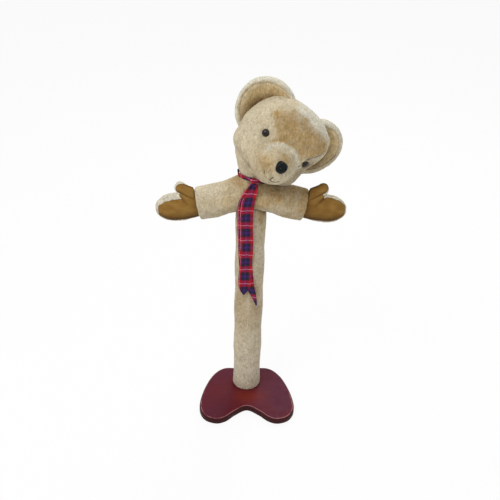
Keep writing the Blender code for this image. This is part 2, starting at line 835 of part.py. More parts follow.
def neck_form(grow, stretch=0.0):
    """The bent neck from inside the torso to the head, drawn in or grown all round."""
    rows = []
    for under, wide, deep in NECK_ROOT:
        rows.append((neck_spot(0.0) - Vector((0, 0, under)), 0.0, wide, wide, deep / wide))
    for i, reach in enumerate(NECK_STRETCH):
        bent = LEAN * i / (len(NECK_STRETCH) - 1)
        rows.append((neck_spot(bent), bent, NECK_RADIUS, reach, 1.0))
    axis = Vector((math.sin(LEAN), 0, math.cos(LEAN)))
    for height, reach in NECK_FLARE:
        rows.append((PIVOT + axis * height, LEAN, NECK_RADIUS, reach, 1.0))
    ends = {0: -stretch, len(rows) - 1: stretch}
    rings = []
    for i, (centre, angle, near, far, flat) in enumerate(rows):
        side = Vector((math.cos(angle), 0, -math.sin(angle)))
        along = Vector((math.sin(angle), 0, math.cos(angle)))
        moved = centre + along * ends.get(i, 0.0)
        ring = []
        for k in range(ROUND):
            turn = math.tau * k / ROUND
            radius = near + (far - near) * ((1 - math.cos(turn)) / 2) ** 2 + grow
            ring.append(moved + side * math.cos(turn) * radius)
            ring[-1] = ring[-1] + Vector((0, math.sin(turn) * radius * flat, 0))
        rings.append(ring)
    return lofted(rings)


def ring_path(centre, across, up, radius, stretch=0.0, steps=16):
    """A ring's path, or an oval's where its two ends are stretched apart along up."""
    found = []
    for k in range(steps):
        angle = math.tau * k / steps
        rise = math.copysign(stretch / 2, math.sin(angle)) if stretch else 0.0
        found.append(centre + across * math.cos(angle) * radius)
        found[-1] = found[-1] + up * (math.sin(angle) * radius + rise)
    return found


def make_neck(finish, torso_cutter, head_cutter, head_frame):
    """The soft neck and the linked joint inside it."""
    neck = add_object("neck", neck_form(0.0), finish["plush"])
    bore = neck_form(-NECK_WALL, NECK_WALL)
    cut(neck, add_helper("neck_bore", bore), torso_cutter, head_cutter)
    x, y, z = Vector((1, 0, 0)), Vector((0, 1, 0)), Vector((0, 0, 1))
    loop = wire_loop(ring_path(PIVOT, x, z, EYE_RADIUS), y, WIRE_RADIUS)
    eye = add_object("post_eye", loop, finish["steel"])
    foot = POST_TOP - EYE_SHANK_LENGTH
    top = PIVOT.z - EYE_RADIUS
    shank = [(0, foot), (WIRE_RADIUS, foot + WIRE_DIA), (WIRE_RADIUS, top), (0, top)]
    unite(eye, add_helper("post_eye_shank", spun(shank, 12)))
    middle = z * (LINK_FOOT + LINK_REACH / 2)
    oval = ring_path(middle, y, z, EYE_RADIUS, LINK_REACH)
    add_object("neck_link", wire_loop(oval, x, WIRE_RADIUS), finish["steel"], head_frame)
    loop = wire_loop(ring_path(z * PIN_EYE_RISE, x, z, EYE_RADIUS), y, WIRE_RADIUS)
    pin = add_object("neck_pin", loop, finish["steel"], head_frame)
    foot = PIN_EYE_RISE + EYE_RADIUS
    top = PIN_WASHER_TOP + PIN_CURL + GAP
    shank = rod(PIN_SHANK_DIA / 2, foot, top, 12)
    unite(pin, add_helper("neck_pin_shank", shank, head_frame))
    for side, name in ((1, "left"), (-1, "right")):
        centre = Vector((side * PIN_CURL, 0, top - WIRE_RADIUS))
        path = []
        steps = 7
        for i in range(steps + 1):
            angle = math.pi - math.radians(PIN_CURL_DEG) * i / steps
            round_point = x * side * math.cos(angle) + z * math.sin(angle)
            path.append(centre + round_point * PIN_CURL)
        lift = Vector((0, 0, PIN_WASHER_TOP + GAP + WIRE_RADIUS))
        path = [p for p in path if p.z > lift.z]
        leg = wire(path, PIN_LEG_DIA / 2, y)
        unite(pin, add_helper(f"neck_pin_{name}_leg", leg, head_frame))
    hole = PIN_SHANK_DIA / 2 + FIT
    add_object(
        "neck_washer",
        tube(hole, PIN_WASHER_DIA / 2, PIN_WASHER_FOOT, PIN_WASHER_TOP, COARSE),
        finish["steel"],
        head_frame,
    )
    add_object(
        "neck_disc",
        tube(hole, DISC_DIA / 2, DISC_FOOT, DISC_FOOT + DISC_THICK),
        finish["hardboard"],
        head_frame,
    )


# Head


def slumped(across, height):
    """A place across the head after its stuffing has sunk, by a bell over the height."""
    bell = math.exp(-(((height - SLUMP_HEIGHT) / SLUMP_SPREAD) ** 2))
    return across * (1 - SLUMP_LEFT * bell if across > 0 else 1 + SLUMP_RIGHT * bell)


def head_point(height, angle, grow=0.0):
    """A point of the head's surface; the angle runs from its left side round by the back."""
    _, half, face, back = row_at(HEAD_SECTIONS, height)
    c, s = squared(angle, HEAD_SQUARE)
    depth = (back if s > 0 else face) + grow
    return Vector((slumped(c * half, height) + c * grow, s * depth, height))


def head_form(grow=0.0):
    """The stuffed head without its muzzle."""
    rings = []
    for row in through(HEAD_SECTIONS, 2)[:-1] + [HEAD_SECTIONS[-1]]:
        ring = []
        for k in range(SMOOTH):
            ring.append(head_point(row[0], math.tau * k / SMOOTH, grow))
        rings.append(ring)
    rings[0] = [p - Vector((0, 0, grow)) for p in rings[0]]
    rings.append([Vector((0, 0, HEAD_TOP + grow))])
    return lofted(rings)


def muzzle_point(out, turn):
    """A point of the muzzle: out from its tip, then round from the bear's left side upwards."""
    c, s = squared(turn, 2.0)
    tall = MUZZLE_UP if s > 0 else MUZZLE_DOWN
    reach, wide = squared(out, MUZZLE_SQUARE)
    x, y, z = MUZZLE_CENTRE
    height = z + tall * wide * s
    across = slumped(x + MUZZLE_HALF_WIDTH * wide * c, height)
    return Vector((across, y - MUZZLE_REACH * reach, height))


def outwards(surface, *place):
    """The direction square to a surface given by two numbers, away from the head's middle."""
    step = 1e-3
    a, b = place
    first = surface(a + step, b) - surface(a - step, b)
    second = surface(a, b + step) - surface(a, b - step)
    normal = first.cross(second).normalized()
    middle = Vector((0, 0, HEAD_SECTIONS[4][0]))
    away = surface(a, b) - middle
    return normal if normal.dot(away) > 0 else -normal


def muzzle_form():
    """The rounded snout; its back end lies inside the head."""
    steps = 9
    deepest = math.radians(MUZZLE_ROUND_DEG)
    rings = [[muzzle_point(0.0, 0.0)]]
    for i in range(1, steps + 1):
        out = deepest * i / steps
        rings.append([muzzle_point(out, math.tau * k / ROUND) for k in range(ROUND)])
    return lofted(rings)


def ear_form(side, front, back):
    """A layer of an ear between two of the columns of its depths."""
    turn = math.radians(EAR_TURN_DEG)
    x, y, z = EAR_CENTRE
    centre = Vector((slumped(side * x, z), y, z))
    outer = Vector((side * math.cos(turn), math.sin(turn), 0))
    deep = Vector((-side * math.sin(turn), math.cos(turn), 0))
    up = Vector((0, 0, 1))
    radii = [EAR_RADIUS * share for share in EAR_RING_SHARES]
    layers = list(zip(radii, EAR_DEPTHS))
    rows = [(radius, depths[front]) for radius, depths in layers[1:]]
    rows.append((EAR_RADIUS, (EAR_DEPTHS[-1][front] + EAR_DEPTHS[-1][back]) / 2))
    rows += [(radius, depths[back]) for radius, depths in reversed(layers[1:])]
    rings = [[centre + deep * EAR_DEPTHS[0][front]]]
    for radius, depth in rows:
        ring = []
        for k in range(ROUND + 4):
            angle = math.tau * k / (ROUND + 4)
            flat = outer * math.cos(angle) + up * math.sin(angle)
            ring.append(centre + flat * radius + deep * depth)
        rings.append(ring)
    rings.append([centre + deep * EAR_DEPTHS[0][back]])
    return lofted(rings)


def make_ears(finish, head_frame, head_cutter):
    """Both ears, each with a lining in its cup and a back."""
    cup, seam, back = 0, 1, 2
    for side, name in ((1, "left"), (-1, "right")):
        lining = add_object(
            f"{name}_ear_lining", ear_form(side, cup, seam), finish["plush"], head_frame
        )
        cut(lining, head_cutter)
        shell = add_object(
            f"{name}_ear_back", ear_form(side, seam, back), finish["plush"], head_frame
        )
        shell.location = Vector((-side * math.sin(math.radians(EAR_TURN_DEG)), 1, 0)) * GAP
        cut(shell, head_cutter)


def stem_cutter(name, place, seat_radius, seat_depth, head_frame):
    """The hole for a plastic eye's or nose's stem and its lock washer."""
    hole = STEM_DIA / 2 + FIT
    wide = LOCK_WASHER_DIA / 2 + FIT
    near = -LOCK_WASHER_DEPTH + GAP
    far = near - LOCK_WASHER_THICK - 2 * GAP
    end = -STEM_LENGTH - FIT
    outside = EYE_DIA
    profile = [(0, end), (hole, end), (hole, far), (wide, far), (wide, near), (hole, near)]
    profile += [(hole, -seat_depth), (seat_radius, -seat_depth), (seat_radius, outside)]
    profile.append((0, outside))
    return add_helper(name, spun(profile, COARSE), head_frame, place)


def lock_washer(name, place, finish, head_frame):
    """The washer that grips a stem behind the fabric."""
    low = -LOCK_WASHER_DEPTH - LOCK_WASHER_THICK
    ring = tube(STEM_DIA / 2 + GAP, LOCK_WASHER_DIA / 2, low, -LOCK_WASHER_DEPTH, COARSE)
    add_object(name, ring, finish["white_plastic"], head_frame, place)


def make_eyes(finish, head_frame, head):
    """The plastic eyes on their stems."""
    radius = EYE_DIA / 2
    for side, name in ((1, "left"), (-1, "right")):
        angle = -math.radians(EYE_ANGLE_DEG)
        if side < 0:
            angle = -math.pi - angle
        spot = head_point(EYE_HEIGHT, angle)
        normal = outwards(head_point, EYE_HEIGHT, angle)
        place = placed(spot, normal)
        cutter = stem_cutter(f"{name}_eye_hole", place, radius + FIT, EYE_SEAT, head_frame)
        cut(head, cutter)
        foot = -EYE_SEAT + GAP
        stem = STEM_DIA / 2
        profile = [(0, -STEM_LENGTH), (stem, -STEM_LENGTH), (stem, foot), (radius, foot)]
        for lift in DOME_LIFTS_DEG:
            turn = math.radians(lift)
            profile.append((radius * math.cos(turn), foot + EYE_DOME * math.sin(turn)))
        profile.append((0, foot + EYE_DOME))
        dome = spun(profile, 20)
        add_object(f"{name}_eye", dome, finish["brown_plastic"], head_frame, place)
        lock_washer(f"{name}_eye_washer", place, finish, head_frame)


def make_nose(finish, head_frame, muzzle):
    """The plastic nose: a rounded triangle, wider at the top."""
    rise = math.radians(NOSE_RISE_DEG)
    spot = muzzle_point(rise, math.pi / 2)
    normal = outwards(muzzle_point, rise, math.pi / 2)
    place = placed(spot, normal)
    cutter = stem_cutter("nose_hole", place, NOSE_WIDTH / 2 + 2 * FIT, NOSE_SEAT, head_frame)
    cut(muzzle, cutter)
    foot = -NOSE_SEAT + GAP
    rings = []
    for lift in NOSE_LIFTS_DEG:
        turn = math.radians(lift)
        size, height = math.cos(turn), foot + NOSE_DOME * math.sin(turn)
        ring = []
        for k in range(20):
            angle = math.tau * k / 20
            c, s = squared(angle, NOSE_SQUARE)
            wide = NOSE_WIDTH / 2 * (1 + NOSE_TAPER * s) / (1 + NOSE_TAPER)
            ring.append(Vector((c * wide * size, s * NOSE_TALL / 2 * size, height)))
        rings.append(ring)
    rings.append([Vector((0, 0, foot + NOSE_DOME))])
    nose = add_object("nose", lofted(rings), finish["black_plastic"], head_frame, place)
    stem = rod(STEM_DIA / 2, -STEM_LENGTH, foot + NOSE_DOME / 2)
    unite(nose, add_helper("nose_stem", stem, head_frame, place))
    lock_washer("nose_washer", place, finish, head_frame)


def thread(name, places, finish, head_frame):
    """A stitched line on the muzzle, lying on it through places (out, turn)."""
    path = []
    for out, turn in places:
        normal = outwards(muzzle_point, out, turn)
        path.append(muzzle_point(out, turn) + normal * (THREAD_DIA / 2 + GAP))
    line = wire(path, THREAD_DIA / 2, Vector((0, 1, 0.2)).normalized(), 6)
    add_object(name, line, finish["thread"], head_frame)


def make_mouth(finish, head_frame):
    """The stitched mouth: a line down from the nose that parts into two curves."""
    down = -math.pi / 2
    drop = math.radians(MOUTH_DROP_DEG)
    start = math.radians(MOUTH_START_DEG)
    steps = 4
    stem = [(start + (drop - start) * i / steps, down) for i in range(steps + 1)]
    thread("mouth_stem", stem, finish, head_frame)
    curl = math.radians(MOUTH_CURL_DEG)
    sag = math.radians(MOUTH_SAG_DEG)
    near, far = math.radians(MOUTH_APART_DEG), math.radians(MOUTH_HALF_DEG)
    steps = 5
    for side, name in ((1, "left"), (-1, "right")):
        places = []
        for i in range(steps + 1):
            share = i / steps
            across = near + (far - near) * share
            fall = drop + sag * math.sin(math.pi * share) - curl * share**2
            out = math.hypot(across, fall)
            places.append((out, math.atan2(-fall, side * across)))
        thread(f"mouth_{name}", places, finish, head_frame)


def make_head(finish, head_frame, head_cutter):
    """The head, the muzzle and all that is on them."""
    head = add_object("head", head_form(), finish["plush"], head_frame)
    hole = PIN_SHANK_DIA / 2 + FIT
    wide = DISC_DIA / 2 + GAP
    floor = HEAD_FOOT + HEAD_FLOOR
    roof = DISC_FOOT + DISC_THICK + GAP
    inner = PIN_WASHER_DIA / 2 + FIT
    top = PIN_WASHER_TOP + 3 * PIN_CURL
    below = HEAD_FOOT - HEAD_FLOOR
    pocket = [(0, below), (hole, below), (hole, floor), (wide, floor), (wide, roof)]
    pocket += [(inner, roof), (inner, top), (0, top)]
    cut(head, add_helper("head_pocket", spun(pocket, ROUND), head_frame))
    muzzle = add_object("muzzle", muzzle_form(), finish["pale_plush"], head_frame)
    cut(muzzle, head_cutter)
    make_ears(finish, head_frame, head_cutter)
    make_eyes(finish, head_frame, head)
    make_nose(finish, head_frame, muzzle)
    make_mouth(finish, head_frame)


# Ribbon


def collar_spot(angle, out=0.0):
    """The middle of the collar at an angle round the neck, or a point outside it."""
    radius = NECK_RADIUS + COLLAR_EASE + COLLAR_THICK / 2 + out
    height = COLLAR_RISE - COLLAR_DROP * ((1 + math.cos(angle)) / 2) ** 2
    return PIVOT + Vector((math.cos(angle) * radius, math.sin(angle) * radius, height))


def collar_form(grow=0.0):
    """The ribbon's turn round the neck, bunched to a narrow band."""
    rings = []
    for k in range(SMOOTH):
        angle = math.tau * k / SMOOTH
        away = Vector((math.cos(angle), math.sin(angle), 0))
        ring = []
        for corner in range(8):
            c, s = squared(math.tau * corner / 8, RIBBON_SQUARE)
            across = away * c * (COLLAR_THICK / 2 + grow)
            ring.append(collar_spot(angle) + across + Vector((0, 0, s * (COLLAR_TALL / 2 + grow))))
        rings.append(ring)
    return lofted(rings, looped=True)


def tail_form(start, rows):
    """A hanging length of ribbon, as a thin strip from its start down through the rows."""
    _, torso_depth, torso_height = ARM_SECTIONS[0]
    places = [(*start, RIBBON_WIDTH * TAIL_START_SHARE)]
    for across, clearance, down, share in rows:
        behind = torso_depth if down < torso_height else SLEEVE_RADIUS
        places.append((across, -behind - clearance, ARM_HEIGHT - down, RIBBON_WIDTH * share))
    fine = through(places, 2)
    rings = []
    for i, (x, y, z, width) in enumerate(fine):
        before, after = fine[max(i - 1, 0)], fine[min(i + 1, len(fine) - 1)]
        along = Vector((0, after[1] - before[1], after[2] - before[2])).normalized()
        thick = along.cross(Vector((1, 0, 0))) * RIBBON_THICK / 2
        centre = Vector((x, y, z))
        half = Vector((width / 2, 0, 0))
        corners = [centre - half - thick, centre + half - thick]
        corners += [centre + half + thick, centre - half + thick]
        rings.append(corners)
    return lofted(rings)


def make_ribbon(finish, torso_cutter):
    """The tartan ribbon: collar, knot and two tails."""
    collar = add_object("ribbon_collar", collar_form(), finish["tartan"])
    cut(collar, add_helper("neck_outline", neck_form(GAP, GAP)), torso_cutter)
    collar_cutter = add_helper("collar_outline", collar_form(GAP))
    wide, deep, tall = (size / 2 for size in KNOT_SIZE)
    rings = [[Vector((0, 0, -tall))]]
    for lift in KNOT_LIFTS_DEG:
        turn = math.radians(lift)
        ring = []
        for k in range(COARSE):
            c, s = squared(math.tau * k / COARSE, RIBBON_SQUARE)
            flat = math.cos(turn)
            ring.append(Vector((c * wide * flat, s * deep * flat, math.sin(turn) * tall)))
        rings.append(ring)
    rings.append([Vector((0, 0, tall))])
    round_angle = -math.pi / 2 + KNOT_SIDE / NECK_RADIUS
    knot_place = Matrix.Translation(collar_spot(round_angle, deep))
    knot = add_object("ribbon_knot", lofted(rings), finish["tartan"], place=knot_place)
    cut(knot, collar_cutter, torso_cutter)
    under = collar_spot(round_angle, deep) - Vector((0, 0, tall + GAP + RIBBON_THICK / 2))
    apart = Vector((0, (RIBBON_THICK + TAILS_APART) / 2, 0))
    front, back = tail_form(under - apart, FRONT_TAIL), tail_form(under + apart, BACK_TAIL)
    add_object("ribbon_front_tail", front, finish["tartan"])
    add_object("ribbon_back_tail", back, finish["tartan"])


def main():
    """Builds the whole object."""
    clear_scene()
    finish = make_materials()
    make_base(finish)
    torso_cutter = make_body(finish)
    make_mitts(finish)
    lean = Matrix.Translation(PIVOT) @ Matrix.Rotation(LEAN, 4, "Y")
    head_frame = add_frame("head_frame", lean)
    head_cutter = add_helper("head_outline", head_form(GAP), head_frame)
    make_neck(finish, torso_cutter, head_cutter, head_frame)
    make_head(finish, head_frame, head_cutter)
    make_ribbon(finish, torso_cutter)
    bpy.context.view_layer.update()


main()
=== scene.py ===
"""Looks of the floor-standing teddy bear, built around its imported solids.

Every visible surface of the bear is made here as a fine mesh: the plush skins with their pile,
the suede palms, the tartan ribbon, the stained board, the plastic eyes and nose and the stitched
mouth.  The hidden wood, foam and metal keep their solids and get a finish.  Lengths are metres.
"""

from __future__ import annotations

import itertools
import logging
import math
from collections.abc import Callable, Sequence
from dataclasses import dataclass, field
from enum import Enum

import bpy
import numpy as np
from bpy.types import Material, Node, NodeSocket, Object
from mathutils import Matrix, Vector

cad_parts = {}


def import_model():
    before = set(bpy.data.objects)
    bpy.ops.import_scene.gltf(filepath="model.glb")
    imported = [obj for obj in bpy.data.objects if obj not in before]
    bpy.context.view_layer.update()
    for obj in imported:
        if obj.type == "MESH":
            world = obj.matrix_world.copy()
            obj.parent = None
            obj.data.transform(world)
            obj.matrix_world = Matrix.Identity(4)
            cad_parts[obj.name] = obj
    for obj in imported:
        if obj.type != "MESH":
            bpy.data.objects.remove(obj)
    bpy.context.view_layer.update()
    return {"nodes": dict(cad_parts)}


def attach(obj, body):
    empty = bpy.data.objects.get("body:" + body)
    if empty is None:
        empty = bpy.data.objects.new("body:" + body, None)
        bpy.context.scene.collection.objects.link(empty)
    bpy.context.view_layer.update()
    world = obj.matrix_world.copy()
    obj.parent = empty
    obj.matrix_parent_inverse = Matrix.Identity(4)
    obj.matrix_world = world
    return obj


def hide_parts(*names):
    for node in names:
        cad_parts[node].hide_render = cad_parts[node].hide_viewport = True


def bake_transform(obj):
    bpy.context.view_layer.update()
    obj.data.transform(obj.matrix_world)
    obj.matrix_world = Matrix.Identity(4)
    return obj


Array = np.ndarray
Row = tuple[float, ...]
Table = Sequence[Row]
Colour = tuple[float, float, float]

LOG = logging.getLogger("teddy")
TAU = 2 * math.pi
SIDES = ((1, "left"), (-1, "right"))  # the bear's own left is along +X
GAP = 0.0003  # between pieces that touch
STEP = 1e-3  # between neighbours whose difference gives a direction on a form
PRIMES = (374761393, 668265263, 1103515245)  # they scatter the corners of a lattice
SCATTER = 1274126177
NECK_RADIUS = 0.031
SLEEVE_RADIUS = 0.0385
MITT_LENGTH = 0.107
SEAM_TOP = 0.186  # where the head's seams end, below its ears


class Body(Enum):
    """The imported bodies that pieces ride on."""

    STAND = "stand"
    LINK = "link"
    PIN = "pin"
    HEAD = "head"


# Numbers and curves


def linear(red: float, green: float, blue: float) -> Colour:
    """Turns a colour as seen on a screen, 0 to 255, into linear light.

    Args:
        red, green, blue: the colour's parts.
    Returns:
        The three linear parts, 0 to 1.
    """
    seen = np.array([red, green, blue]) / 255
    low = seen / 12.92
    high = ((seen + 0.055) / 1.055) ** 2.4
    return tuple(float(x) for x in np.where(seen <= 0.04045, low, high))


def unit(vectors: Array) -> Array:
    """Scales each row to length 1."""
    return vectors / np.maximum(np.linalg.norm(vectors, axis=-1, keepdims=True), 1e-12)


def ease(share: Array) -> Array:
    """Goes from 0 to 1 with level ends: 3t^2 - 2t^3, held outside 0 to 1."""
    t = np.clip(share, 0, 1)
    return t * t * (3 - 2 * t)


def bump_at(distance: Array, size: float) -> Array:
    """A bell of height 1: e to the minus (distance over size) squared."""
    return np.exp(-((distance / size) ** 2))


def spline(rows: Table | Array, places: Array, closed: bool = False) -> Array:
    """Reads a Catmull-Rom curve through rows.

    Args:
        rows: the points or table rows that the curve passes.
        places: where to read, counted in rows from the first.
        closed: whether the curve returns to its first row.
    Returns:
        One row for each place.  Between two rows it is the cubic whose slope at a row is half
        the step from the row before to the row after.
    """
    table = np.asarray(rows, float)
    count = len(table)
    spans = count if closed else count - 1
    base = np.clip(np.floor(places).astype(int), 0, spans - 1)
    t = (np.asarray(places) - base)[:, None]
    picks = [base + k for k in (-1, 0, 1, 2)]
    if closed:
        picks = [pick % count for pick in picks]
    before, start, end, after = (table[np.clip(pick, 0, count - 1)] for pick in picks)
    slope_in = (end - before) / 2
    slope_out = (after - start) / 2
    square = 3 * (end - start) - 2 * slope_in - slope_out
    cube = slope_in + slope_out - 2 * (end - start)
    return start + t * (slope_in + t * (square + t * cube))


def evenly(rows: Table | Array, count: int, closed: bool = False) -> Array:
    """Reads a smooth curve through rows at places that are evenly far apart along it.

    Args:
        rows: the points that the curve passes.
        count: how many places.
        closed: whether it returns to its first row.
    Returns:
        One row for each place.
    """
    table = np.asarray(rows, float)
    spans = len(table) if closed else len(table) - 1
    fine = spline(table, np.linspace(0, spans, spans * 24 + 1), closed)
    along = np.concatenate([[0], np.cumsum(np.linalg.norm(np.diff(fine, axis=0), axis=1))])
    wanted = np.linspace(0, along[-1], count + 1 if closed else count)[:count]
    return np.stack([np.interp(wanted, along, fine[:, k]) for k in range(table.shape[1])], 1)


def look_up(rows: Table, places: Array) -> list[Array]:
    """Reads a table at places of its first column, on a smooth curve through its rows.

    Args:
        rows: the table, its first column rising.
        places: where to read it.
    Returns:
        An array for each column after the first.
    """
    fine = spline(rows, np.linspace(0, len(rows) - 1, 24 * (len(rows) - 1) + 1))
    return [np.interp(places, fine[:, 0], fine[:, k]) for k in range(1, fine.shape[1])]


def squared(angle: Array, power: float) -> tuple[Array, Array]:
    """Cosine and sine of a superellipse: each to the power of 2 over its number, sign kept."""
    c, s = np.cos(angle), np.sin(angle)
    return np.sign(c) * np.abs(c) ** (2 / power), np.sign(s) * np.abs(s) ** (2 / power)


def full_turn(count: int) -> Array:
    """Angles spread evenly over a full turn."""
    return np.linspace(0, TAU, count, endpoint=False)


def points_of(*parts: Array | float) -> Array:
    """Points from their three parts, or a map from its two, each spread to the same shape."""
    return np.stack(np.broadcast_arrays(*parts), -1)


def lattice(cell: Array, seed: int) -> Array:
    """A fixed random height for each corner of a lattice, from its three whole numbers.

    Args:
        cell: the corners.
        seed: picks the pattern.
    Returns:
        Their heights, -1 to 1.
    """
    mixed = (cell @ np.array(PRIMES) + seed * SCATTER) & 0xFFFFFFFF
    mixed = ((mixed ^ (mixed >> 13)) * SCATTER) & 0xFFFFFFFF
    return (mixed ^ (mixed >> 16)) / 2147483648 - 1


def noise(points: Array, size: float, seed: int) -> Array:
    """Smooth random heights in space, the same on every run.

    It blends the eight corners round each point by eased shares of its place in the cell.

    Args:
        points: where to read it.
        size: the distance between random heights.
        seed: picks the pattern.
    Returns:
        A height for each point, -1 to 1.
    """
    turn = Matrix.Rotation(0.7 + seed, 3, "X") @ Matrix.Rotation(0.4 + 2 * seed, 3, "Z")
    place = points @ np.array(turn) / size
    low = np.floor(place)
    share = ease(place - low)
    height = np.zeros(len(points))
    for step in itertools.product((0, 1), repeat=3):
        weights = np.where(np.array(step), share, 1 - share).prod(axis=1)
        height += weights * lattice(low.astype(np.int64) + np.array(step), seed)
    return height


def cloud(points: Array, size: float, seed: int, layers: int = 3) -> Array:
    """Adds layers of noise, each half as large and half as high as the one before."""
    heights = (noise(points, size / 2**k, seed + k) / 2**k for k in range(layers))
    return sum(heights, np.zeros(len(points))) / 1.5


# Meshes


def grid_faces(rows: int, columns: int, closed: bool, looped: bool = False) -> Array:
    """Quads of a grid of points that are stored row by row.

    Args:
        rows, columns: the grid's size.
        closed: whether each row joins its own first point.
        looped: whether the last row joins the first one.
    Returns:
        Four point numbers for each quad.
    """
    down = np.arange(rows if looped else rows - 1)[:, None]
    across = np.arange(columns if closed else columns - 1)[None, :]
    below = (down + 1) % rows
    right = (across + 1) % columns
    corners = [down * columns + across, down * columns + right]
    corners += [below * columns + right, below * columns + across]
    return np.stack(corners, -1).reshape(-1, 4)


@dataclass
class Skin:
    """A surface as arrays: its points, its quads, and the triangles that close its ends."""

    points: Array
    quads: Array
    fans: Array = field(default_factory=lambda: np.empty((0, 3), int))
    uv: Array | None = None
    tone: Array | None = None

    @classmethod
    def grid(cls, points: Array, closed: bool = True, looped: bool = False,
             capped: bool = False) -> Skin:
        """Makes a surface from rows of points.

        Args:
            points: an array of rows by columns by 3.
            closed: whether each row is a ring.
            looped: whether the last row joins the first one.
            capped: whether the first and last rings are closed over their middles.
        Returns:
            The surface, with its faces turned outwards if it is closed.
        """
        rows, columns = points.shape[:2]
        flat = points.reshape(-1, 3)
        made = cls(flat, grid_faces(rows, columns, closed, looped))
        if capped:
            ends = np.stack([points[0].mean(axis=0), points[-1].mean(axis=0)])
            first, last = len(flat), len(flat) + 1
            made.points = np.concatenate([flat, ends])
            around = np.arange(columns)
            after = (around + 1) % columns
            top = (rows - 1) * columns
            made.fans = np.concatenate([
                np.stack([np.full(columns, first), after, around], 1),
                np.stack([np.full(columns, last), top + around, top + after], 1),
            ])
        if capped or looped:
            made.turn_outwards()
        return made

    def triangles(self) -> Array:
        """All faces as triangles."""
        return np.concatenate([self.quads[:, [0, 1, 2]], self.quads[:, [0, 2, 3]], self.fans])

    def turn_outwards(self) -> None:
        """Turns the faces round if the volume, a sixth of a.(b x c) over all, is negative."""
        a, b, c = (self.points[self.triangles()[:, k]] for k in range(3))
        if (a * np.cross(b, c)).sum() < 0:
            self.quads, self.fans = self.quads[:, ::-1], self.fans[:, ::-1]

    def normals(self) -> Array:
        """The directions square to the surface: at each point the sum of its faces' areas.

        Returns:
            A direction of length 1 for each point.
        """
        corners = self.triangles()
        a, b, c = (self.points[corners[:, k]] for k in range(3))
        area = np.cross(b - a, c - a)
        total = np.zeros_like(self.points)
        for axis in range(3):
            for k in range(3):
                total[:, axis] += np.bincount(corners[:, k], area[:, axis], len(total))
        return unit(total)

    def push(self, amount: Array) -> None:
        """Moves each point along its normal by an amount of its own."""
        self.points = self.points + self.normals() * np.asarray(amount)[:, None]

    def paint(self, warm: Array, pale: Array, dark: Array) -> None:
        """Keeps each point's shares of the warm, the pale and the dark colour of its finish."""
        parts = [np.clip(np.broadcast_to(x, len(self.points)), 0, 1) for x in (warm, pale, dark)]
        self.tone = np.stack([*parts, np.ones(len(self.points))], 1)

    def make(self, name: str, material: Material) -> Object:
        """Puts the surface in the scene as an object at the origin.

        Args:
            name: the object's name.
            material: its finish.
        Returns:
            The object.
        """
        mesh = bpy.data.meshes.new(name)
        mesh.from_pydata(self.points.tolist(), [], self.quads.tolist() + self.fans.tolist())
        if self.uv is not None:
            layer = mesh.uv_layers.new(name="pattern")
            corners = np.empty(len(mesh.loops), np.int32)
            mesh.loops.foreach_get("vertex_index", corners)
            layer.data.foreach_set("uv", self.uv[corners].astype(np.float32).ravel())
        if self.tone is not None:
            layer = mesh.color_attributes.new("tone", "FLOAT_COLOR", "POINT")
            layer.data.foreach_set("color", self.tone.astype(np.float32).ravel())
        mesh.shade_smooth()
        mesh.materials.append(material)
        made = bpy.data.objects.new(name, mesh)
        bpy.context.scene.collection.objects.link(made)
        return made


def cube_sphere(steps: int) -> tuple[Array, Array]:
    """Directions spread evenly over a ball, without poles.

    Each face of a cube is a grid of tangents of even angles, pushed out to length 1.

    Args:
        steps: quads along a cube's edge.
    Returns:
        The unit directions and the quads between them.
    """
    edge = np.tan(np.linspace(-1, 1, steps + 1) * math.pi / 4)
    a, b = (x.ravel() for x in np.meshgrid(edge, edge, indexing="ij"))
    one = np.ones_like(a)
    sides = [(one, a, b), (-one, b, a), (b, one, a), (a, -one, b), (a, b, one), (b, a, -one)]
    stacked = np.concatenate([np.stack(side, 1) for side in sides])
    faces = grid_faces(steps + 1, steps + 1, False)
    faces = np.concatenate([faces + k * len(a) for k in range(6)])
    rounded = np.round(stacked, 6)
    _, first, same = np.unique(rounded, axis=0, return_index=True, return_inverse=True)
    return unit(stacked[first]), same.reshape(-1)[faces]


def tube(path: Array, radius: Array | float, sides: int, across: Array) -> Skin:
    """A round thread along a path, its ends closed.

    Args:
        path: the points of its middle line.
        radius: one radius, or one for each point.
        sides: points round it.
        across: a direction that the path never follows.
    Returns:
        The surface: each ring is the path's point plus radius times a turned pair of directions.
    """
    along = unit(np.gradient(path, axis=0))
    side = unit(np.cross(along, across))
    up = np.cross(side, along)
    angle = full_turn(sides)
    c, s = np.cos(angle)[:, None], np.sin(angle)[:, None]
    ring = side[:, None] * c + up[:, None] * s
    wide = np.broadcast_to(radius, len(path))[:, None, None]
    return Skin.grid(path[:, None] + ring * wide, capped=True)


# Finishes


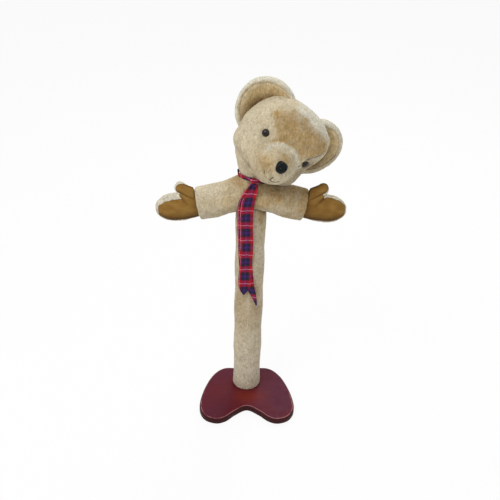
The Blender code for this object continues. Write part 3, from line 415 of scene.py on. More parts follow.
class Graph:
    """The nodes of one material, built with few words."""

    def __init__(self, name: str) -> None:
        """Starts a material with a Principled shader.

        Args:
            name: what the material is called.
        """
        self.material = bpy.data.materials.new(name)
        self.material.use_nodes = True
        self.tree = self.material.node_tree
        self.shader = self.tree.nodes["Principled BSDF"]
        self.place = self.node("TexCoord").outputs["Object"]

    def put(self, socket: NodeSocket, value: object) -> None:
        """Links a socket to another, or sets its number or colour.

        Args:
            socket: what is set.
            value: a socket, a number or a colour.
        """
        if isinstance(value, NodeSocket):
            self.tree.links.new(value, socket)
        elif isinstance(value, tuple) and len(value) == 3 and socket.type == "RGBA":
            socket.default_value = (*value, 1.0)
        else:
            socket.default_value = value

    def node(self, kind: str, inputs: dict[str | int, object] | None = None,
             **settings: object) -> Node:
        """Adds a node with its settings and inputs.

        Args:
            kind: its type, without the word ShaderNode.
            inputs: values by socket name or number.
            settings: values by attribute.
        Returns:
            The node.
        """
        made = self.tree.nodes.new("ShaderNode" + kind)
        for key, value in settings.items():
            setattr(made, key, value)
        for key, value in (inputs or {}).items():
            if value is not None:
                self.put(made.inputs[key], value)
        return made

    def sum(self, kind: str, first: object, second: object = 0.0,
            third: object = 0.0) -> NodeSocket:
        """A Math node."""
        made = self.node("Math", {0: first, 1: second, 2: third}, operation=kind)
        return made.outputs[0]

    def noise(self, size: float, detail: float = 2.0, stretch: Row = (1.0, 1.0, 1.0),
              place: object = None) -> NodeSocket:
        """Noise whose patches are about size metres across, longer where stretch is above 1.

        Args:
            size: of its patches.
            detail: its octaves.
            stretch: how much longer they are along each axis.
            place: where it is read, if not on the object.
        Returns:
            A socket from 0 to 1.
        """
        scale = tuple(1 / (size * share) for share in stretch)
        place = place or self.place
        spread = self.node("VectorMath", {0: place, 1: scale}, operation="MULTIPLY")
        inputs = {"Vector": spread.outputs[0], "Scale": 1.0, "Detail": detail}
        return self.node("TexNoise", inputs).outputs["Fac"]

    def remap(self, value: object, low: float, high: float, to_low: float = 0.0,
              to_high: float = 1.0) -> NodeSocket:
        """Spreads the numbers between low and high from to_low to to_high, and holds the rest."""
        inputs = {0: value, 1: low, 2: high, 3: to_low, 4: to_high}
        return self.node("MapRange", inputs).outputs[0]

    def mix(self, share: object, first: object, second: object,
            kind: str = "MIX") -> NodeSocket:
        """Mixes two colours."""
        made = self.node("Mix", {0: share, 6: first, 7: second}, data_type="RGBA", blend_type=kind)
        return made.outputs[2]

    def tint(self, colour: object, value: object, low: float,
             high: float) -> NodeSocket:
        """Makes a colour darker and lighter, between two shares of itself.

        Args:
            colour: the colour's socket.
            value: from 0, darkest, to 1.
            low, high: the darkest and lightest share.
        Returns:
            The tinted colour.
        """
        level = self.remap(value, 0.25, 0.75, low, high)
        grey = self.node("CombineColor", dict.fromkeys(range(3), level)).outputs[0]
        return self.mix(1.0, colour, grey, "MULTIPLY")

    def tone(self) -> tuple[NodeSocket, ...]:
        """The warm, pale and dark shares that the mesh holds."""
        found = self.node("Attribute", attribute_name="tone").outputs["Color"]
        return tuple(self.node("SeparateColor", {0: found}).outputs[:3])

    def bump(self, height: object, distance: float, strength: float = 1.0,
             below: object = None) -> NodeSocket:
        """A bump of some metres' height, on another bump if there is one."""
        inputs = {"Height": height, "Distance": distance, "Strength": strength, "Normal": below}
        return self.node("Bump", inputs).outputs[0]

    def finish(self, **sockets: object) -> Material:
        """Sets the shader's sockets, named with underscores, and gives the material.

        Args:
            sockets: values by the shader's socket names.
        Returns:
            The material.
        """
        for key, value in sockets.items():
            title = key.replace("_", " ").title().replace("Ior", "IOR")
            self.put(self.shader.inputs[title], value)
        return self.material


@dataclass(frozen=True)
class Finish:
    """A finish, under the name of its material."""

    name: str


@dataclass(frozen=True)
class Plush(Finish):
    """Short woven plush: four colours, how patchy it is, and the length of its clumps."""

    cream: Colour = linear(216, 202, 171)
    warm: Colour = linear(184, 153, 103)
    # pale paints paler pile and painted light; dark paints painted shade
    pale: Colour = linear(224, 218, 199)
    dark: Colour = linear(104, 78, 44)
    clump: float = 0.0042
    sheen: float = 0.45

    def build(self) -> Material:
        """Mixes the mesh's tones, mottles them at three sizes and roughens the pile.

        Returns:
            The material.
        """
        g = Graph(self.name)
        warm, pale, dark = g.tone()
        colour = g.mix(warm, self.cream, self.warm)
        colour = g.mix(pale, colour, self.pale)
        colour = g.mix(dark, colour, self.dark)
        colour = g.tint(colour, g.noise(0.03, 3.0), 0.91, 1.08)
        colour = g.tint(colour, g.noise(0.0095, 2.0, (1.0, 1.0, 1.5)), 0.9, 1.08)
        clump = g.noise(self.clump, 3.0, (1.0, 1.0, 2.0))
        colour = g.tint(colour, clump, 0.76, 1.16)
        strands = g.noise(self.clump / 3, 3.0, (1.0, 1.0, 2.6))
        colour = g.tint(colour, strands, 0.76, 1.14)
        clumps = g.bump(clump, 0.0018, 0.6)
        pile = g.bump(strands, 0.0009, 0.7, clumps)
        return g.finish(
            base_color=colour, roughness=0.95, normal=pile, specular_ior_level=0.12,
            sheen_weight=self.sheen, sheen_roughness=0.35, sheen_tint=self.pale,
        )


@dataclass(frozen=True)
class Suede(Finish):
    """Napped suede cloth, darker where painted shade lies on its edges, creases and underside."""

    plain: Colour = linear(138, 100, 45)
    light: Colour = linear(156, 119, 60)
    # dark: painted shade
    dark: Colour = linear(72, 46, 16)

    def build(self) -> Material:
        """Brushes the nap light and dark in soft patches, over a fine grain.

        Returns:
            The material.
        """
        g = Graph(self.name)
        worn, _, seam = g.tone()
        brushed = g.remap(g.noise(0.028, 3.0, (1.0, 1.0, 0.6)), 0.42, 0.66)
        colour = g.mix(brushed, self.plain, self.light)
        colour = g.mix(worn, colour, self.light)
        # painted shade on the palm's edges, creases and underside
        colour = g.mix(seam, colour, self.dark)
        grain = g.noise(0.0011, 4.0)
        colour = g.tint(colour, grain, 0.88, 1.1)
        nap = g.bump(grain, 0.0004, 0.5)
        return g.finish(
            base_color=colour, roughness=0.92, normal=nap, specular_ior_level=0.2,
            sheen_weight=0.25, sheen_roughness=0.5, sheen_tint=self.light,
        )


@dataclass(frozen=True)
class StainedBoard(Finish):
    """Wood under a dark red stain and a satin varnish, worn at its top edge, where a painted
    highlight lies too, with painted shade on its sides.
    """

    stain: Colour = linear(92, 24, 36)
    purple: Colour = linear(84, 28, 48)
    rubbed: Colour = linear(120, 42, 34)
    # edge: worn stain, chips, and the painted highlight on the top edge
    edge: Colour = linear(176, 124, 120)
    # side: painted shade
    side: Colour = linear(60, 22, 26)

    def build(self) -> Material:
        """Streaks the stain along X, warms it before the post, paints shade on its sides and a
        worn, highlighted line along its top edge, and scuffs and chips it.

        Returns:
            The material.
        """
        g = Graph(self.name)
        # the second tone is wear and painted highlight at the top edge, the third painted shade
        warm, edge, side = g.tone()
        grain = g.noise(0.0035, 4.0, (14.0, 1.0, 1.0))
        colour = g.mix(g.remap(g.noise(0.07, 2.0), 0.35, 0.65), self.stain, self.purple)
        colour = g.mix(warm, colour, self.rubbed)
        colour = g.tint(colour, grain, 0.86, 1.12)
        # painted shade on the sides and underneath
        colour = g.mix(side, colour, self.side)
        # a paler line at the top edge: worn stain and painted highlight
        patchy = g.remap(g.noise(0.022, 4.0), 0.34, 0.5)
        colour = g.mix(g.sum("MULTIPLY", edge, patchy), colour, self.edge)
        chips = g.remap(g.noise(0.01, 5.0, (1.6, 1.0, 1.0)), 0.7, 0.74)
        colour = g.mix(g.sum("MULTIPLY", chips, 0.35), colour, self.edge)
        pores = g.bump(grain, 0.0003, 0.35)
        rough = g.remap(g.noise(0.02, 4.0), 0.3, 0.7, 0.34, 0.52)
        return g.finish(
            base_color=colour, roughness=rough, normal=pores, specular_ior_level=0.1,
        )


@dataclass(frozen=True)
class Tartan(Finish):
    """A woven check, the same across as along, of twill that shows both sets of threads."""

    crimson: Colour = linear(186, 14, 44)
    wine: Colour = linear(128, 14, 40)
    green: Colour = linear(28, 36, 38)
    navy: Colour = linear(42, 22, 64)
    violet: Colour = linear(66, 38, 106)
    pink: Colour = linear(236, 150, 176)
    repeat: float = 0.0448
    width: float = 0.034
    thread: float = 0.0007

    def stripes(self, g: Graph, place: object, stops: list[tuple]) -> NodeSocket:
        """The colours of one set of threads along a share of its repeat, as a stepped ramp.

        Args:
            g: the material's nodes.
            place: the share, 0 to 1.
            stops: each colour with the share where it starts.
        Returns:
            The colour at the place.
        """
        ramp = g.node("ValToRGB", {0: place})
        ramp.color_ramp.interpolation = "CONSTANT"
        while len(ramp.color_ramp.elements) < len(stops):
            ramp.color_ramp.elements.new(0.5)
        for element, (at, colour) in zip(ramp.color_ramp.elements, stops):
            element.position = at
            element.color = (*colour, 1.0)
        return ramp.outputs[0]

    def build(self) -> Material:
        """Crosses the two sets of stripes by a diagonal of the pattern's own map, in metres.

        Returns:
            The material.
        """
        g = Graph(self.name)
        uv = g.node("UVMap", uv_map="pattern").outputs[0]
        parts = g.node("SeparateXYZ", {0: uv}).outputs
        along, across = parts[0], parts[1]
        down = [
            (0.0, self.pink), (0.05, self.crimson), (0.21, self.wine), (0.25, self.green),
            (0.36, self.navy), (0.46, self.violet), (0.58, self.navy), (0.68, self.green),
            (0.77, self.wine), (0.82, self.crimson),
        ]
        over = [
            (0.0, self.wine), (0.04, self.pink), (0.08, self.crimson), (0.17, self.wine),
            (0.21, self.green), (0.32, self.navy), (0.42, self.violet), (0.56, self.navy),
            (0.67, self.green), (0.77, self.wine), (0.82, self.crimson),
        ]
        weft = self.stripes(g, g.sum("FRACT", g.sum("DIVIDE", along, self.repeat)), down)
        warp = self.stripes(g, g.sum("FRACT", g.sum("DIVIDE", across, self.width)), over)
        slant = g.sum("DIVIDE", g.sum("ADD", along, across), 4 * self.thread)
        turn = g.sum("GREATER_THAN", g.sum("FRACT", slant), 0.5)
        colour = g.mix(turn, weft, warp)
        colour = g.tint(colour, g.noise(0.004, 3.0), 0.84, 1.08)
        ribs = g.sum("PINGPONG", g.sum("DIVIDE", along, self.thread), 0.5)
        cords = g.sum("PINGPONG", g.sum("DIVIDE", across, self.thread), 0.5)
        weave = g.bump(g.sum("ADD", ribs, cords), 0.0002, 0.5)
        return g.finish(
            base_color=colour, roughness=0.7, normal=weave, specular_ior_level=0.2,
        )


@dataclass(frozen=True)
class Grained(Finish):
    """Bare wood or hardboard: streaks of a darker colour along one axis."""

    light: Colour
    dark: Colour
    grain: Row
    roughness: float = 0.7

    def build(self) -> Material:
        """Mixes two colours by stretched noise.

        Returns:
            The material.
        """
        g = Graph(self.name)
        streaks = g.noise(0.003, 4.0, self.grain)
        colour = g.mix(g.remap(streaks, 0.3, 0.7), self.light, self.dark)
        return g.finish(
            base_color=colour, roughness=self.roughness, normal=g.bump(streaks, 0.0003, 0.5)
        )


@dataclass(frozen=True)
class Speckled(Finish):
    """A plain stuff with a fine grain: felt, foam, thread, plastic or metal."""

    colour: Colour
    other: Colour
    size: float
    roughness: float
    metallic: float = 0.0
    shine: float = 0.5
    depth: float = 0.0002

    def build(self) -> Material:
        """Mixes two near colours by noise, and bumps the surface by it.

        Returns:
            The material.
        """
        g = Graph(self.name)
        grain = g.noise(self.size, 4.0)
        colour = g.mix(g.remap(grain, 0.3, 0.7), self.colour, self.other)
        return g.finish(
            base_color=colour, roughness=self.roughness, metallic=self.metallic,
            specular_ior_level=self.shine, normal=g.bump(grain, self.depth, 0.5),
        )


@dataclass(frozen=True)
class EyeGlass(Finish):
    """A plastic eye: a black pupil in a dark brown ring, under a clear gloss."""

    iris: Colour = linear(42, 30, 26)
    pupil: Colour = linear(10, 8, 10)
    rim: Colour = linear(30, 22, 20)

    def build(self) -> Material:
        """Mixes ring and pupil by the mesh's tones.

        Returns:
            The material.
        """
        g = Graph(self.name)
        iris, rim, _ = g.tone()
        colour = g.mix(iris, self.pupil, self.iris)
        colour = g.mix(rim, colour, self.rim)
        colour = g.tint(colour, g.noise(0.0012, 3.0), 0.8, 1.2)
        return g.finish(base_color=colour, roughness=0.1, specular_ior_level=0.3)


@dataclass(frozen=True)
class Finishes:
    """Every material of the object, ready to use."""

    plush: Material
    ear_plush: Material
    post_plush: Material
    suede: Material
    board: Material
    tartan: Material
    eye: Material
    nose: Material
    thread: Material
    hidden: dict[str, Material]

    @classmethod
    def build(cls) -> Finishes:
        """Makes them all.

        Returns:
            The finishes.
        """
        light, dark = linear(206, 172, 126), linear(178, 138, 92)
        finishes = {
            "post": Grained("bare_post", light, dark, (1.0, 1.0, 16.0)),
            "cross_bar": Grained("bare_bar", light, dark, (16.0, 1.0, 1.0)),
            "post_padding": Speckled(
                "foam", linear(222, 212, 168), linear(206, 192, 146), 0.002, 0.95, depth=0.0006
            ),
            "base_felt": Speckled(
                "felt", linear(58, 84, 62), linear(44, 68, 50), 0.0012, 1.0, depth=0.0005
            ),
            "neck_disc": Grained(
                "hardboard", linear(140, 104, 68), linear(118, 84, 52), (4.0, 4.0, 1.0), 0.8
            ),
        }
        hidden = {node: finish.build() for node, finish in finishes.items()}
        steel = Speckled("steel", linear(178, 178, 182), linear(150, 150, 156), 0.004, 0.36, 1.0)
        white = Speckled("white_plastic", linear(226, 226, 220), linear(214, 214, 208), 0.002, 0.5)
        steel_nodes = (
            "cross_bar_screw", "post_bolt", "post_washer", "post_eye", "neck_link", "neck_pin",
            "neck_washer",
        )
        washers = ("left_eye_washer", "right_eye_washer", "nose_washer")
        for nodes, finish in ((steel_nodes, steel), (washers, white)):
            hidden |= dict.fromkeys(nodes, finish.build())
        return cls(
            plush=Plush("plush").build(),
            ear_plush=Plush("ear_plush", warm=linear(224, 196, 144)).build(),
            # a darker copy of the plush, painting the shade that falls on the post
            post_plush=Plush(
                "post_plush", cream=linear(206, 190, 162), warm=linear(176, 149, 106), sheen=0.3
            ).build(),
            suede=Suede("suede").build(),
            board=StainedBoard("stained_board").build(),
            tartan=Tartan("tartan").build(),
            eye=EyeGlass("eye_plastic").build(),
            nose=Speckled(
                "nose_plastic", linear(6, 10, 11), linear(14, 20, 22), 0.0016, 0.2, shine=0.14,
                depth=0.0001,
            ).build(),
            thread=Speckled(
                "mouth_thread", linear(84, 72, 56), linear(58, 48, 36), 0.0006, 0.85, shine=0.2,
                depth=0.0002,
            ).build(),
            hidden=hidden,
        )


@dataclass
class Dressed:
    """A sub-assembly that is dressed in the object's finishes."""

    finish: Finishes


def place_piece(made: Object, body: Body, slot: str, *nodes: str, fill: float = 0.0) -> None:
    """Lets a piece ride on a body in place of its solids, and reports it.

    Args:
        made: the piece.
        body: what it rides on.
        slot: not used.
        nodes: the solids it stands for.
        fill: not used.
    """
    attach(made, body.value)
    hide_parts(*nodes)
    LOG.info("%s: %d faces, on %s", made.name, len(made.data.polygons), body.value)


def pile(skin: Skin, seed: int, outer: Array | bool = True) -> None:
    """Ruffles a skin along its normals and shades it between its tufts.

    Slow swells of 45 mm carry clumps of 8 mm and tufts of 3.4 mm, drawn out along the nap, and
    each point stands up or down a little by itself.  Tips get a painted highlight and hollows
    painted shade.

    Args:
        skin: the surface.
        seed: picks the pattern.
        outer: which of its points are covered with pile.
    """
    nap = np.array([1.0, 1.0, 0.6])
    swell = cloud(skin.points, 0.045, seed, 2) * 0.0006
    clumps = cloud(skin.points * nap, 0.008, seed + 20, 2)
    tufts = cloud(skin.points * nap, 0.0034, seed + 40, 1)
    bristles = np.random.default_rng(seed).uniform(-1, 1, len(skin.points))
    height = 0.00065 * clumps + 0.0006 * tufts + 0.00022 * bristles
    skin.push(np.where(outer, swell + height, 0))
    if skin.tone is not None:
        # painted highlight on the tufts' tips and painted shade in the hollows between them
        tip_light_and_shade = np.where(outer, 0.5 * tufts + 0.3 * clumps + 0.2 * bristles, 0)
        skin.tone[:, 1] = np.clip(skin.tone[:, 1] + 0.4 * np.clip(tip_light_and_shade, 0, 1), 0, 1)
        skin.tone[:, 2] = np.clip(skin.tone[:, 2] + 0.46 * np.clip(-tip_light_and_shade, 0, 1), 0, 1)


# The stand


@dataclass
class Board(Dressed):
    """The base: a lobed board with a rounded top edge, bored for the post and its bolt."""

    outline: Table = (
        (0.0, -0.104), (0.033, -0.123), (0.06, -0.147), (0.088, -0.155), (0.12, -0.14),
        (0.135, -0.1), (0.124, -0.032), (0.098, 0.03), (0.062, 0.06), (0.0, 0.056),
    )
    foot: float = 0.0023
    top: float = 0.0203
    rounding: float = 0.005
    chamfer: float = 0.0012
    seat_radius: float = 0.0229
    seat_depth: float = 0.004
    bolt_radius: float = 0.0044
    recess_radius: float = 0.0124
    recess_top: float = 0.0104
    around: int = 360

    def ring(self, inset: float) -> Array:
        """The outline, even along its length, moved square to itself by an inset.

        Args:
            inset: how far inwards.
        Returns:
            Its points.
        """
        half = list(self.outline)
        other = [(-x, y) for x, y in reversed(half[1:-1])]
        line = evenly(half + other, self.around, closed=True)
        along = unit(np.roll(line, -1, axis=0) - np.roll(line, 1, axis=0))
        return line + np.stack([-along[:, 1], along[:, 0]], 1) * inset

    def circle(self, radius: float) -> Array:
        """A circle whose points lie towards the outline's points."""
        return unit(self.ring(0.0)) * radius

    def surface(self) -> Skin:
        """Rings from the bolt's hole over the seat, across the top, round the edge and back.

        Returns:
            The closed surface with its tones.
        """
        bolt, seat, recess = (
            self.circle(size) for size in (self.bolt_radius, self.seat_radius, self.recess_radius)
        )
        # the side rows and those below carry painted shade
        plain, shaded_flank, below = (0.0, 0.0, 0.0), (0.0, 0.0, 1.0), (0.0, 0.0, 0.6)
        floor = self.top - self.seat_depth
        rows = [(bolt, self.recess_top, plain), (bolt, floor, plain)]
        rows += [(seat, floor, plain), (seat, self.top, plain)]
        step = self.ring(self.rounding + 0.0008) - seat
        rows += [(seat + step * share, self.top, plain) for share in np.linspace(0, 1, 26)[1:]]
        # round the top edge: a thin paler line, partly worn stain and partly painted highlight,
        # then painted shade down the side
        for turn in np.linspace(0, math.pi / 2, 9):
            inset = self.rounding * (1 - math.sin(turn))
            drop = self.rounding * (1 - math.cos(turn))
            worn = float(bump_at(np.array(turn - 0.12), 0.2))
            side = float(ease(np.array((turn - 0.25) / 0.45)))
            rows.append((self.ring(inset), self.top - drop, (0.0, worn, side)))
        high, low = self.top - self.rounding, self.foot + self.chamfer
        edge, foot = self.ring(0.0), self.ring(self.chamfer)
        rows += [(edge, high + (low - high) * share, shaded_flank) for share in (0.33, 0.66, 1.0)]
        rows.append((foot, self.foot, shaded_flank))
        step = recess - foot
        rows += [(foot + step * share, self.foot, below) for share in (0.3, 0.6, 0.9, 1.0)]
        rows.append((recess, self.recess_top, plain))
        points = np.stack([
            np.concatenate([ring, np.full((self.around, 1), height)], 1)
            for ring, height, _ in rows
        ])
        skin = Skin.grid(points, looped=True)
        tones = np.repeat(np.array([tone for _, _, tone in rows]), self.around, axis=0)
        x, y, z = skin.points.T
        front = bump_at(np.hypot(x / 1.3, y + 0.06), 0.036) * (z > self.top - 1e-5)
        # the paler edge line, wear and painted highlight, is strongest at the front
        near = 0.15 + 0.75 * ease((-0.02 - y) / 0.06)
        skin.paint(tones[:, 0] + front * 0.95, tones[:, 1] * near, tones[:, 2])
        dents = cloud(skin.points, 0.02, 3, 3) * 0.00025
        rim = (tones[:, 1] > 0.2) | (tones[:, 2] > 0.9)
        skin.push(np.where(rim & (z > self.foot + self.chamfer), dents, 0))
        return skin

    def build(self) -> None:
        """Makes the board."""
        made = self.surface().make("board", self.finish.board)
        place_piece(made, Body.STAND, "stained_wood", "base_board")


@dataclass
class ArmLine:
    """The arms' middle line and sections, which torso, sleeve, mitts and ribbon share."""

    height: float = 0.647
    slope: float = math.tan(math.radians(12.4))
    bend: float = 0.02
    straight: float = 0.06
    cuff: float = 0.134
    arch: float = 0.0085
    sections: Table = (
        (0.0, 0.045, 0.0435), (0.06, 0.0445, 0.043), (0.098, 0.0425, 0.043),
        (0.134, 0.039, 0.042),
    )

    def middle(self, reach: Array) -> Array:
        """Height of the middle line: it falls by the slope beyond a short round bend."""
        return self.height - self.slope * (np.hypot(reach, self.bend) - self.bend)

    def tilt(self, reach: Array) -> Array:
        """Angle of a section: upright over the post, square to the line at the cuffs.

        Args:
            reach: distances from the post.
        Returns:
            An angle for each.
        """
        steep = math.atan(self.slope * self.cuff / math.hypot(self.cuff, self.bend))
        share = (np.abs(reach) - self.straight) / (self.cuff - self.straight)
        return np.sign(reach) * steep * np.clip(share, 0, 1)

    @property
    def end_slope(self) -> float:
        """How steeply the line falls where an arm ends."""
        return math.tan(float(self.tilt(np.array(self.cuff))))

    @property
    def end_height(self) -> float:
        """Height of the line where an arm ends."""
        return float(self.middle(np.array(self.cuff)))

    def halves(self, reach: Array) -> list[Array]:
        """Half-depth and half-height of the arms at a distance from the post."""
        return look_up(self.sections, np.abs(reach))

    def arched(self, x: Array, low: Array) -> Array:
        """How far the underside is drawn up near the post, for a share low of its depth."""
        return self.arch * (1 - ease((np.abs(x) - 0.034) / 0.056)) * low**0.7

    def underside(self, x: Array, y: Array) -> Array:
        """Height of the torso's underside over a point of the floor plan.

        Args:
            x, y: the places.
        Returns:
            A height for each.
        """
        depth, tall = self.halves(x)
        low = np.sqrt(np.clip(1 - (y / depth) ** 2, 0, 1))
        return self.middle(x) - tall * low + self.arched(x, low)


@dataclass
class Sleeve(Dressed):
    """The plush tube over the padded post, sewn to the torso along a saddle-shaped seam."""

    line: ArmLine
    inner: float = 0.0355
    foot: float = 0.0206
    hem: Row = (0.006, 0.0022)
    turned_in: Row = (0.004, 0.0016)
    wave: float = 0.001
    rows: int = 372
    columns: int = 156

    def surface(self) -> Skin:
        """Rings from floor to seam, each point at a share of its own column's height.

        Returns:
            The closed surface.
        """
        angle = full_turn(self.columns)
        x, y = np.cos(angle), np.sin(angle)
        seam = self.line.underside(x * SLEEVE_RADIUS, y * SLEEVE_RADIUS) - GAP
        share = np.linspace(0, 1, self.rows)[:, None]
        height = self.foot + (seam[None] - self.foot) * share
        above, below = height - self.foot, seam[None] - height
        tuck = 0.0
        for apart, (reach, depth) in ((above, self.hem), (below, self.turned_in)):
            tuck = tuck + depth * np.clip(1 - apart / reach, 0, 1) ** 2
        waves = self.wave * np.sin(height * 46 + 1.2 * np.sin(angle)[None] + 0.4)
        wide = SLEEVE_RADIUS + waves - tuck
        outer = np.stack([x * wide, y * wide, height], -1)
        inside = np.stack([x * self.inner, y * self.inner], -1)
        top = np.concatenate([inside, (seam - 0.001)[:, None]], 1)
        low = np.concatenate([inside, np.full((self.columns, 1), self.foot)], 1)
        return Skin.grid(np.concatenate([outer, top[None], low[None]]), looped=True)

    def build(self) -> None:
        """Makes the sleeve: greyer and paler towards the floor, brushed dark in patches."""
        skin = self.surface()
        count = self.rows * self.columns
        outer = np.zeros(len(skin.points), bool)
        outer[:count] = True
        x, y, z = skin.points.T
        patches = ease((cloud(skin.points * (1, 1, 0.55), 0.04, 71, 3) + 0.15) * 1.8)
        streaks = ease((cloud(skin.points * (1, 1, 0.45), 0.016, 72, 3) + 0.25) * 1.6)
        high = ease((z - 0.16) / 0.34)
        warm = 0.1 + 0.75 * (0.25 + 0.75 * high) * patches
        pale = 0.42 * (1 - ease((z - 0.03) / 0.32)) + 0.32 * (1 - patches) * streaks * high
        # painted shade under the torso, and a painted shadow at the foot on the board
        shade = bump_at(self.line.underside(x, y) - z, 0.01) * 0.5
        dark = 0.06 * patches * streaks * ease((z - 0.08) / 0.1) + shade
        dark = dark + 0.35 * bump_at(z - self.foot, 0.004)
        skin.paint(warm, pale, np.where(outer, dark, 0))
        pile(skin, 5, outer)
        made = skin.make("post_plush", self.finish.post_plush)
        place_piece(made, Body.STAND, "plush", "post_sleeve", fill=0.8)


@dataclass
class Torso(Dressed):
    """The plush tube of both arms and the middle, with a soft mound where the neck comes out."""

    line: ArmLine
    mound: float = 0.01
    shoulder: float = 0.0065
    lip: float = 0.003
    rows: int = 250
    columns: int = 190

    def surface(self) -> Skin:
        """Rings across the arms, round like an ellipse, with rounded cuffs closed at the ends.

        Returns:
            The closed surface.
        """
        end, lip = self.line.cuff, self.lip
        reach = np.linspace(-(end - lip), end - lip, self.rows)
        turns = np.array([0.25, 0.5, 0.75, 1.0]) * math.pi / 2
        beyond = end - lip + lip * np.sin(turns)
        reach = np.concatenate([-beyond[::-1], reach, beyond])
        inset = np.concatenate([lip * (1 - np.cos(turns)), np.zeros(self.rows)])
        inset = np.concatenate([inset[:4][::-1], inset[4:], inset[:4]])
        depth, tall = self.line.halves(reach)
        angle = full_turn(self.columns)
        c, s = np.cos(angle)[None], np.sin(angle)[None]
        tilt = self.line.tilt(reach)
        across = c * (depth - inset)[:, None]
        over = s * (tall - inset)[:, None]
        x = reach[:, None] + over * np.sin(tilt)[:, None]
        z = self.line.middle(reach)[:, None] + over * np.cos(tilt)[:, None]
        top = np.clip(s, 0, 1) ** 1.5
        bell = bump_at(x + 0.012, 0.046) * bump_at(across, 0.044) * top
        nape = bump_at(x + 0.033, 0.028) * bump_at(across, 0.04) * top
        z = z + self.mound * bell + self.shoulder * nape
        z = z + self.line.arched(reach[:, None] + 0 * s, np.clip(-s, 0, 1))
        return Skin.grid(np.stack([x, across, z], -1), capped=True)

    def build(self) -> None:
        """Makes the torso, with painted light on top, and painted shade under the chin, in the
        creases by the post and underneath.
        """
        skin = self.surface()
        x, y, z = skin.points.T
        middle = self.line.middle(x)
        over = (z - middle) / 0.043
        crease = bump_at(np.abs(x) - 0.04, 0.007) * ease(-over * 1.6)
        folds = np.sin((np.abs(x) - 0.036) * 260 + y * 40) * crease * 0.0009
        pull = cloud(skin.points * (0.4, 1, 1), 0.018, 44, 2) * bump_at(over + 0.6, 0.7) * 0.0009
        skin.push(folds + pull)
        patches = ease((cloud(skin.points, 0.034, 73, 3) + 0.2) * 1.7)
        warm = 0.3 + 0.5 * ease(x / 0.1 + 0.5)
        warm = warm + 0.4 * bump_at(x + 0.022, 0.05) * ease(over + 0.4)
        warm = warm * (0.55 + 0.6 * patches) * (1 - 0.55 * ease(-over - 0.1))
        # painted light on the top of the right arm; pale patches below
        pale = 0.3 * ease((over - 0.35) / 0.6) * ease((-x - 0.05) / 0.03)
        pale = pale + 0.3 * (1 - patches) * ease(-over + 0.3)
        # painted shadow under the chin, painted shade in the creases by the post and underneath
        dark = 0.36 * bump_at(x - 0.036, 0.034) * bump_at(over - 0.8, 0.34)
        dark = dark + 0.45 * bump_at(np.abs(x) - 0.042, 0.006) * ease(-over * 2 - 0.6)
        dark = dark + 0.22 * ease(-over + 0.2)
        skin.paint(warm, pale, dark)
        pile(skin, 9)
        made = skin.make("torso_plush", self.finish.plush)
        place_piece(made, Body.STAND, "plush", "torso", "left_arm", "right_arm", fill=0.85)


